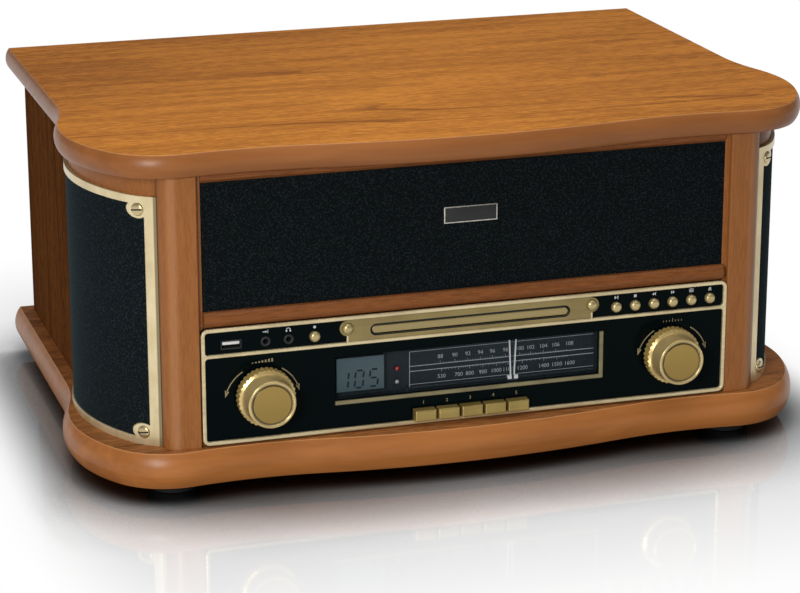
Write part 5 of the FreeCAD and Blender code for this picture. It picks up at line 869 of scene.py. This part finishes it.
# Display glass with plain seven-stroke figures. A stroke joins two corners of a figure of unit size.
DISPLAY_Y, PANE_DEEP = -148.0, 0.5
PANE_LEFT, PANE_RIGHT, PANE_LOW, PANE_HIGH = -88.0, -56.6, 59.3, 81.6
STROKES = {"a": (0, 1, 1, 1), "b": (1, 0.5, 1, 1), "c": (1, 0, 1, 0.5), "d": (0, 0, 1, 0),
           "e": (0, 0, 0, 0.5), "f": (0, 0.5, 0, 1), "g": (0, 0.5, 1, 0.5)}
FIGURES = {"0": "abcdef", "1": "bc", "5": "afgcd"}
FIGURE_WIDE, FIGURE_TALL, FIGURE_LOW, FIGURE_LEAN, STROKE_HALF = 5.4, 11.4, 61.4, 0.9, 0.62


def stroke_outline(ax, az, bx, bz):
    """Six corners of a stroke between two points, which is cut to a point at both ends."""
    w = STROKE_HALF
    if abs(bx - ax) > abs(bz - az):
        return [(ax + w, az), (ax + 2 * w, az + w), (bx - 2 * w, bz + w), (bx - w, bz), (bx - 2 * w, bz - w),
                (ax + 2 * w, az - w)]
    return [(ax, az + w), (ax + w, az + 2 * w), (bx + w, bz - 2 * w), (bx, bz - w), (bx - w, bz - 2 * w),
            (ax - w, az + 2 * w)]


bm = bmesh.new()
add_slab(bm, (PANE_LEFT, DISPLAY_Y - PANE_DEEP, PANE_LOW), (PANE_RIGHT, DISPLAY_Y, PANE_HIGH), 0.2)
place_piece("display_pane", bm, "cabinet", DISPLAY_GLASS, 40)
bm = bmesh.new()
for figure, x in (("1", -86.2), ("0", -76.3), ("5", -66.6)):
    for stroke in FIGURES[figure]:
        x0, z0, x1, z1 = STROKES[stroke]
        outline = stroke_outline(x + x0 * FIGURE_WIDE + z0 * FIGURE_LEAN, FIGURE_LOW + z0 * FIGURE_TALL,
                                 x + x1 * FIGURE_WIDE + z1 * FIGURE_LEAN, FIGURE_LOW + z1 * FIGURE_TALL)
        add_shape(bm, outline, DISPLAY_Y - PANE_DEEP - INK_LIFT)
place_piece("display_figures", bm, "cabinet", DARK_INK_AND_SHADE)


# Lenses of the two lamps beside the display.
LAMP_X, LAMP_Y = -47.0, -145.4
LENS_PROFILE = [(0.0, 0.9), (0.6, 0.75), (1.1, 0.35), (1.35, 0.0)]
for z, word, finish in ((70.5, "upper", RED_LENS), (61.5, "lower", PALE_LENS)):
    bm = bmesh.new()
    add_turned(bm, LENS_PROFILE, Matrix.Translation((LAMP_X, LAMP_Y, z)) @ FRONTWARD, 24)
    place_piece("lamp_lens_" + word, bm, "cabinet", finish, 60)


# Front sockets: the port's white tongue, and rings round the two jacks.
TONGUE_LEFT, TONGUE_RIGHT, TONGUE_FRONT, TONGUE_BACK = -162.4, -151.6, -151.6, -141.0
RING_PROFILE = [(1.85, 0.78), (2.1, 1.05), (2.7, 1.1), (3.15, 0.8), (3.2, 0.3)]
bm = bmesh.new()
add_slab(bm, (TONGUE_LEFT, TONGUE_FRONT, STRIP_Z - 0.1), (TONGUE_RIGHT, TONGUE_BACK, STRIP_Z + 1.7), 0.15)
place_piece("port_tongue", bm, "cabinet", WHITE_PLASTIC, 40)
for x, word in ((LINE_X, "line"), (PHONES_X, "phones")):
    bm = bmesh.new()
    add_turned(bm, RING_PROFILE, Matrix.Translation((x, PANEL_Y, STRIP_Z)) @ FRONTWARD, 28)
    place_piece("jack_ring_" + word, bm, "cabinet", BLACK_PLASTIC, 60)


# Plain speed numbers on the deck, either side of the speed lever.
DECK_TOP, SPEED_GAP, SPEED_HEIGHT = 167.0, 6.0, 4.2
low, high = [Vector(corner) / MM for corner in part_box("speed_selector")]
bm = bmesh.new()
for figures, x in (("33", low.x - SPEED_GAP), ("45", high.x + SPEED_GAP)):
    add_text(bm, figures, x, DECK_TOP + INK_LIFT, SPEED_HEIGHT, low.y + (high.y - low.y) * 0.2, Matrix.Identity(4))
place_piece("deck_print", bm, "cabinet", WHITE_INK)


# Floor, light and camera, in metres.

# The floor's shadow starts at these distances from the middle, and ends sooner at the sides than at the front.
SHADE_X, SHADE_Y, SIDE_SHARE = 0.2, 0.13, 2.6
SHADE_REACH, MIRROR_REACH = (0.1, 0.24), (0.06, 0.3)
FLOOR_HALF = 30.0


def studio_floor():
    """White polished floor with a dark shadow round the object. Rays that bounce see it as a dull grey."""
    f = Finish("studio_floor")
    camera, glossy, through = [f.node("LightPath", None, None, "Is %s Ray" % kind)
                               for kind in ("Camera", "Glossy", "Transmission")]
    seen = f.maths("MAXIMUM", f.maths("MAXIMUM", camera, glossy), through)
    x, y = f.axes()[:2]
    out_x, out_y = [f.maths("MAXIMUM", f.maths("ABSOLUTE", along) - half, 0.0)
                    for along, half in ((x, SHADE_X), (y, SHADE_Y))]
    away = f.distance(out_x * SIDE_SHARE, out_y)
    open_share = f.node("AmbientOcclusion", {"samples": 16}, {"Distance": 0.13}, "AO")
    shade = f.maths("MINIMUM", open_share * 1.1, 1.0) ** 4.5
    lit = f.maths("MAXIMUM", shade, f.fade(away, *SHADE_REACH))
    white = f.node("Emission", None, {"Color": f.joined(lit, lit, lit), "Strength": 1.0})
    mirror = f.node("BsdfGlossy", None, {"Color": (1.0, 1.0, 1.0, 1.0), "Roughness": 0.06})
    dull = f.node("BsdfDiffuse", None, {"Color": (0.42, 0.42, 0.42, 1.0)})
    polish = (1.0 - f.fade(away, *MIRROR_REACH)) * 0.3
    shown = f.node("MixShader", None, {0: polish, 1: white, 2: mirror})
    return f.close(f.node("MixShader", None, {0: seen, 1: dull, 2: shown}))


bm = bmesh.new()
bmesh.ops.create_grid(bm, x_segments=1, y_segments=1, size=FLOOR_HALF)
mesh = bpy.data.meshes.new("floor")
bm.to_mesh(mesh)
bm.free()
floor = bpy.data.objects.new("floor", mesh)
bpy.context.scene.collection.objects.link(floor)
mesh.materials.append(studio_floor())

world = bpy.data.worlds.new("studio")
world.use_nodes = True
bpy.context.scene.world = world
background = world.node_tree.nodes["Background"]
background.inputs["Color"].default_value = (0.85, 0.87, 0.9, 1.0)
background.inputs["Strength"].default_value = 0.2


def soft_light(name, where, aim, width, height, power):
    """A rectangular lamp that looks at a point."""
    lamp = bpy.data.lights.new(name, "AREA")
    lamp.shape = "RECTANGLE"
    lamp.size = width
    lamp.size_y = height
    lamp.energy = power
    holder = bpy.data.objects.new(name, lamp)
    holder.location = where
    holder.rotation_euler = (Vector(where) - Vector(aim)).to_track_quat("Z", "Y").to_euler()
    bpy.context.scene.collection.objects.link(holder)


soft_light("overhead", (0.1, -0.15, 1.7), (0.0, 0.0, 0.1), 1.5, 1.3, 17.0)
soft_light("front_left", (-0.95, -1.5, 0.62), (0.0, -0.1, 0.1), 0.52, 0.6, 20.0)

# The camera, fitted to corners of the photograph: angles in degrees, a point on the front in millimetres, the
# distance to it in metres, and the focal length in the photograph's pixels.
AZIMUTH, ELEVATION, ROLL = -17.362, 17.321, -0.061
LOOKED_AT, CAMERA_AWAY = (-16.46, -54.0, 88.46), 1.8431
FOCAL_PIXELS, PHOTO_WIDE, SENSOR_WIDE = 2755.7, 800.0, 36.0


def aim_camera():
    """Camera at the photograph's angle: turned, raised, slightly rolled, looking at a point on the front."""
    azimuth, elevation, roll = [math.radians(angle) for angle in (AZIMUTH, ELEVATION, ROLL)]
    target = Vector(LOOKED_AT) * MM
    back = Vector((math.sin(azimuth) * math.cos(elevation), -math.cos(azimuth) * math.cos(elevation),
                   math.sin(elevation)))
    right = (-back).cross(Vector((0, 0, 1))).normalized()
    up = right.cross(-back)
    across = right * math.cos(roll) + up * math.sin(roll)
    upward = up * math.cos(roll) - right * math.sin(roll)
    lens = bpy.data.cameras.new("camera")
    lens.sensor_width = SENSOR_WIDE
    lens.lens = FOCAL_PIXELS / PHOTO_WIDE * SENSOR_WIDE
    lens.clip_end = 60.0
    holder = bpy.data.objects.new("camera", lens)
    turn = Matrix((across, upward, back)).transposed().to_4x4()
    holder.matrix_world = Matrix.Translation(target + back * CAMERA_AWAY) @ turn
    bpy.context.scene.collection.objects.link(holder)
    bpy.context.scene.camera = holder


aim_camera()
bpy.context.scene.view_settings.view_transform = "Standard"
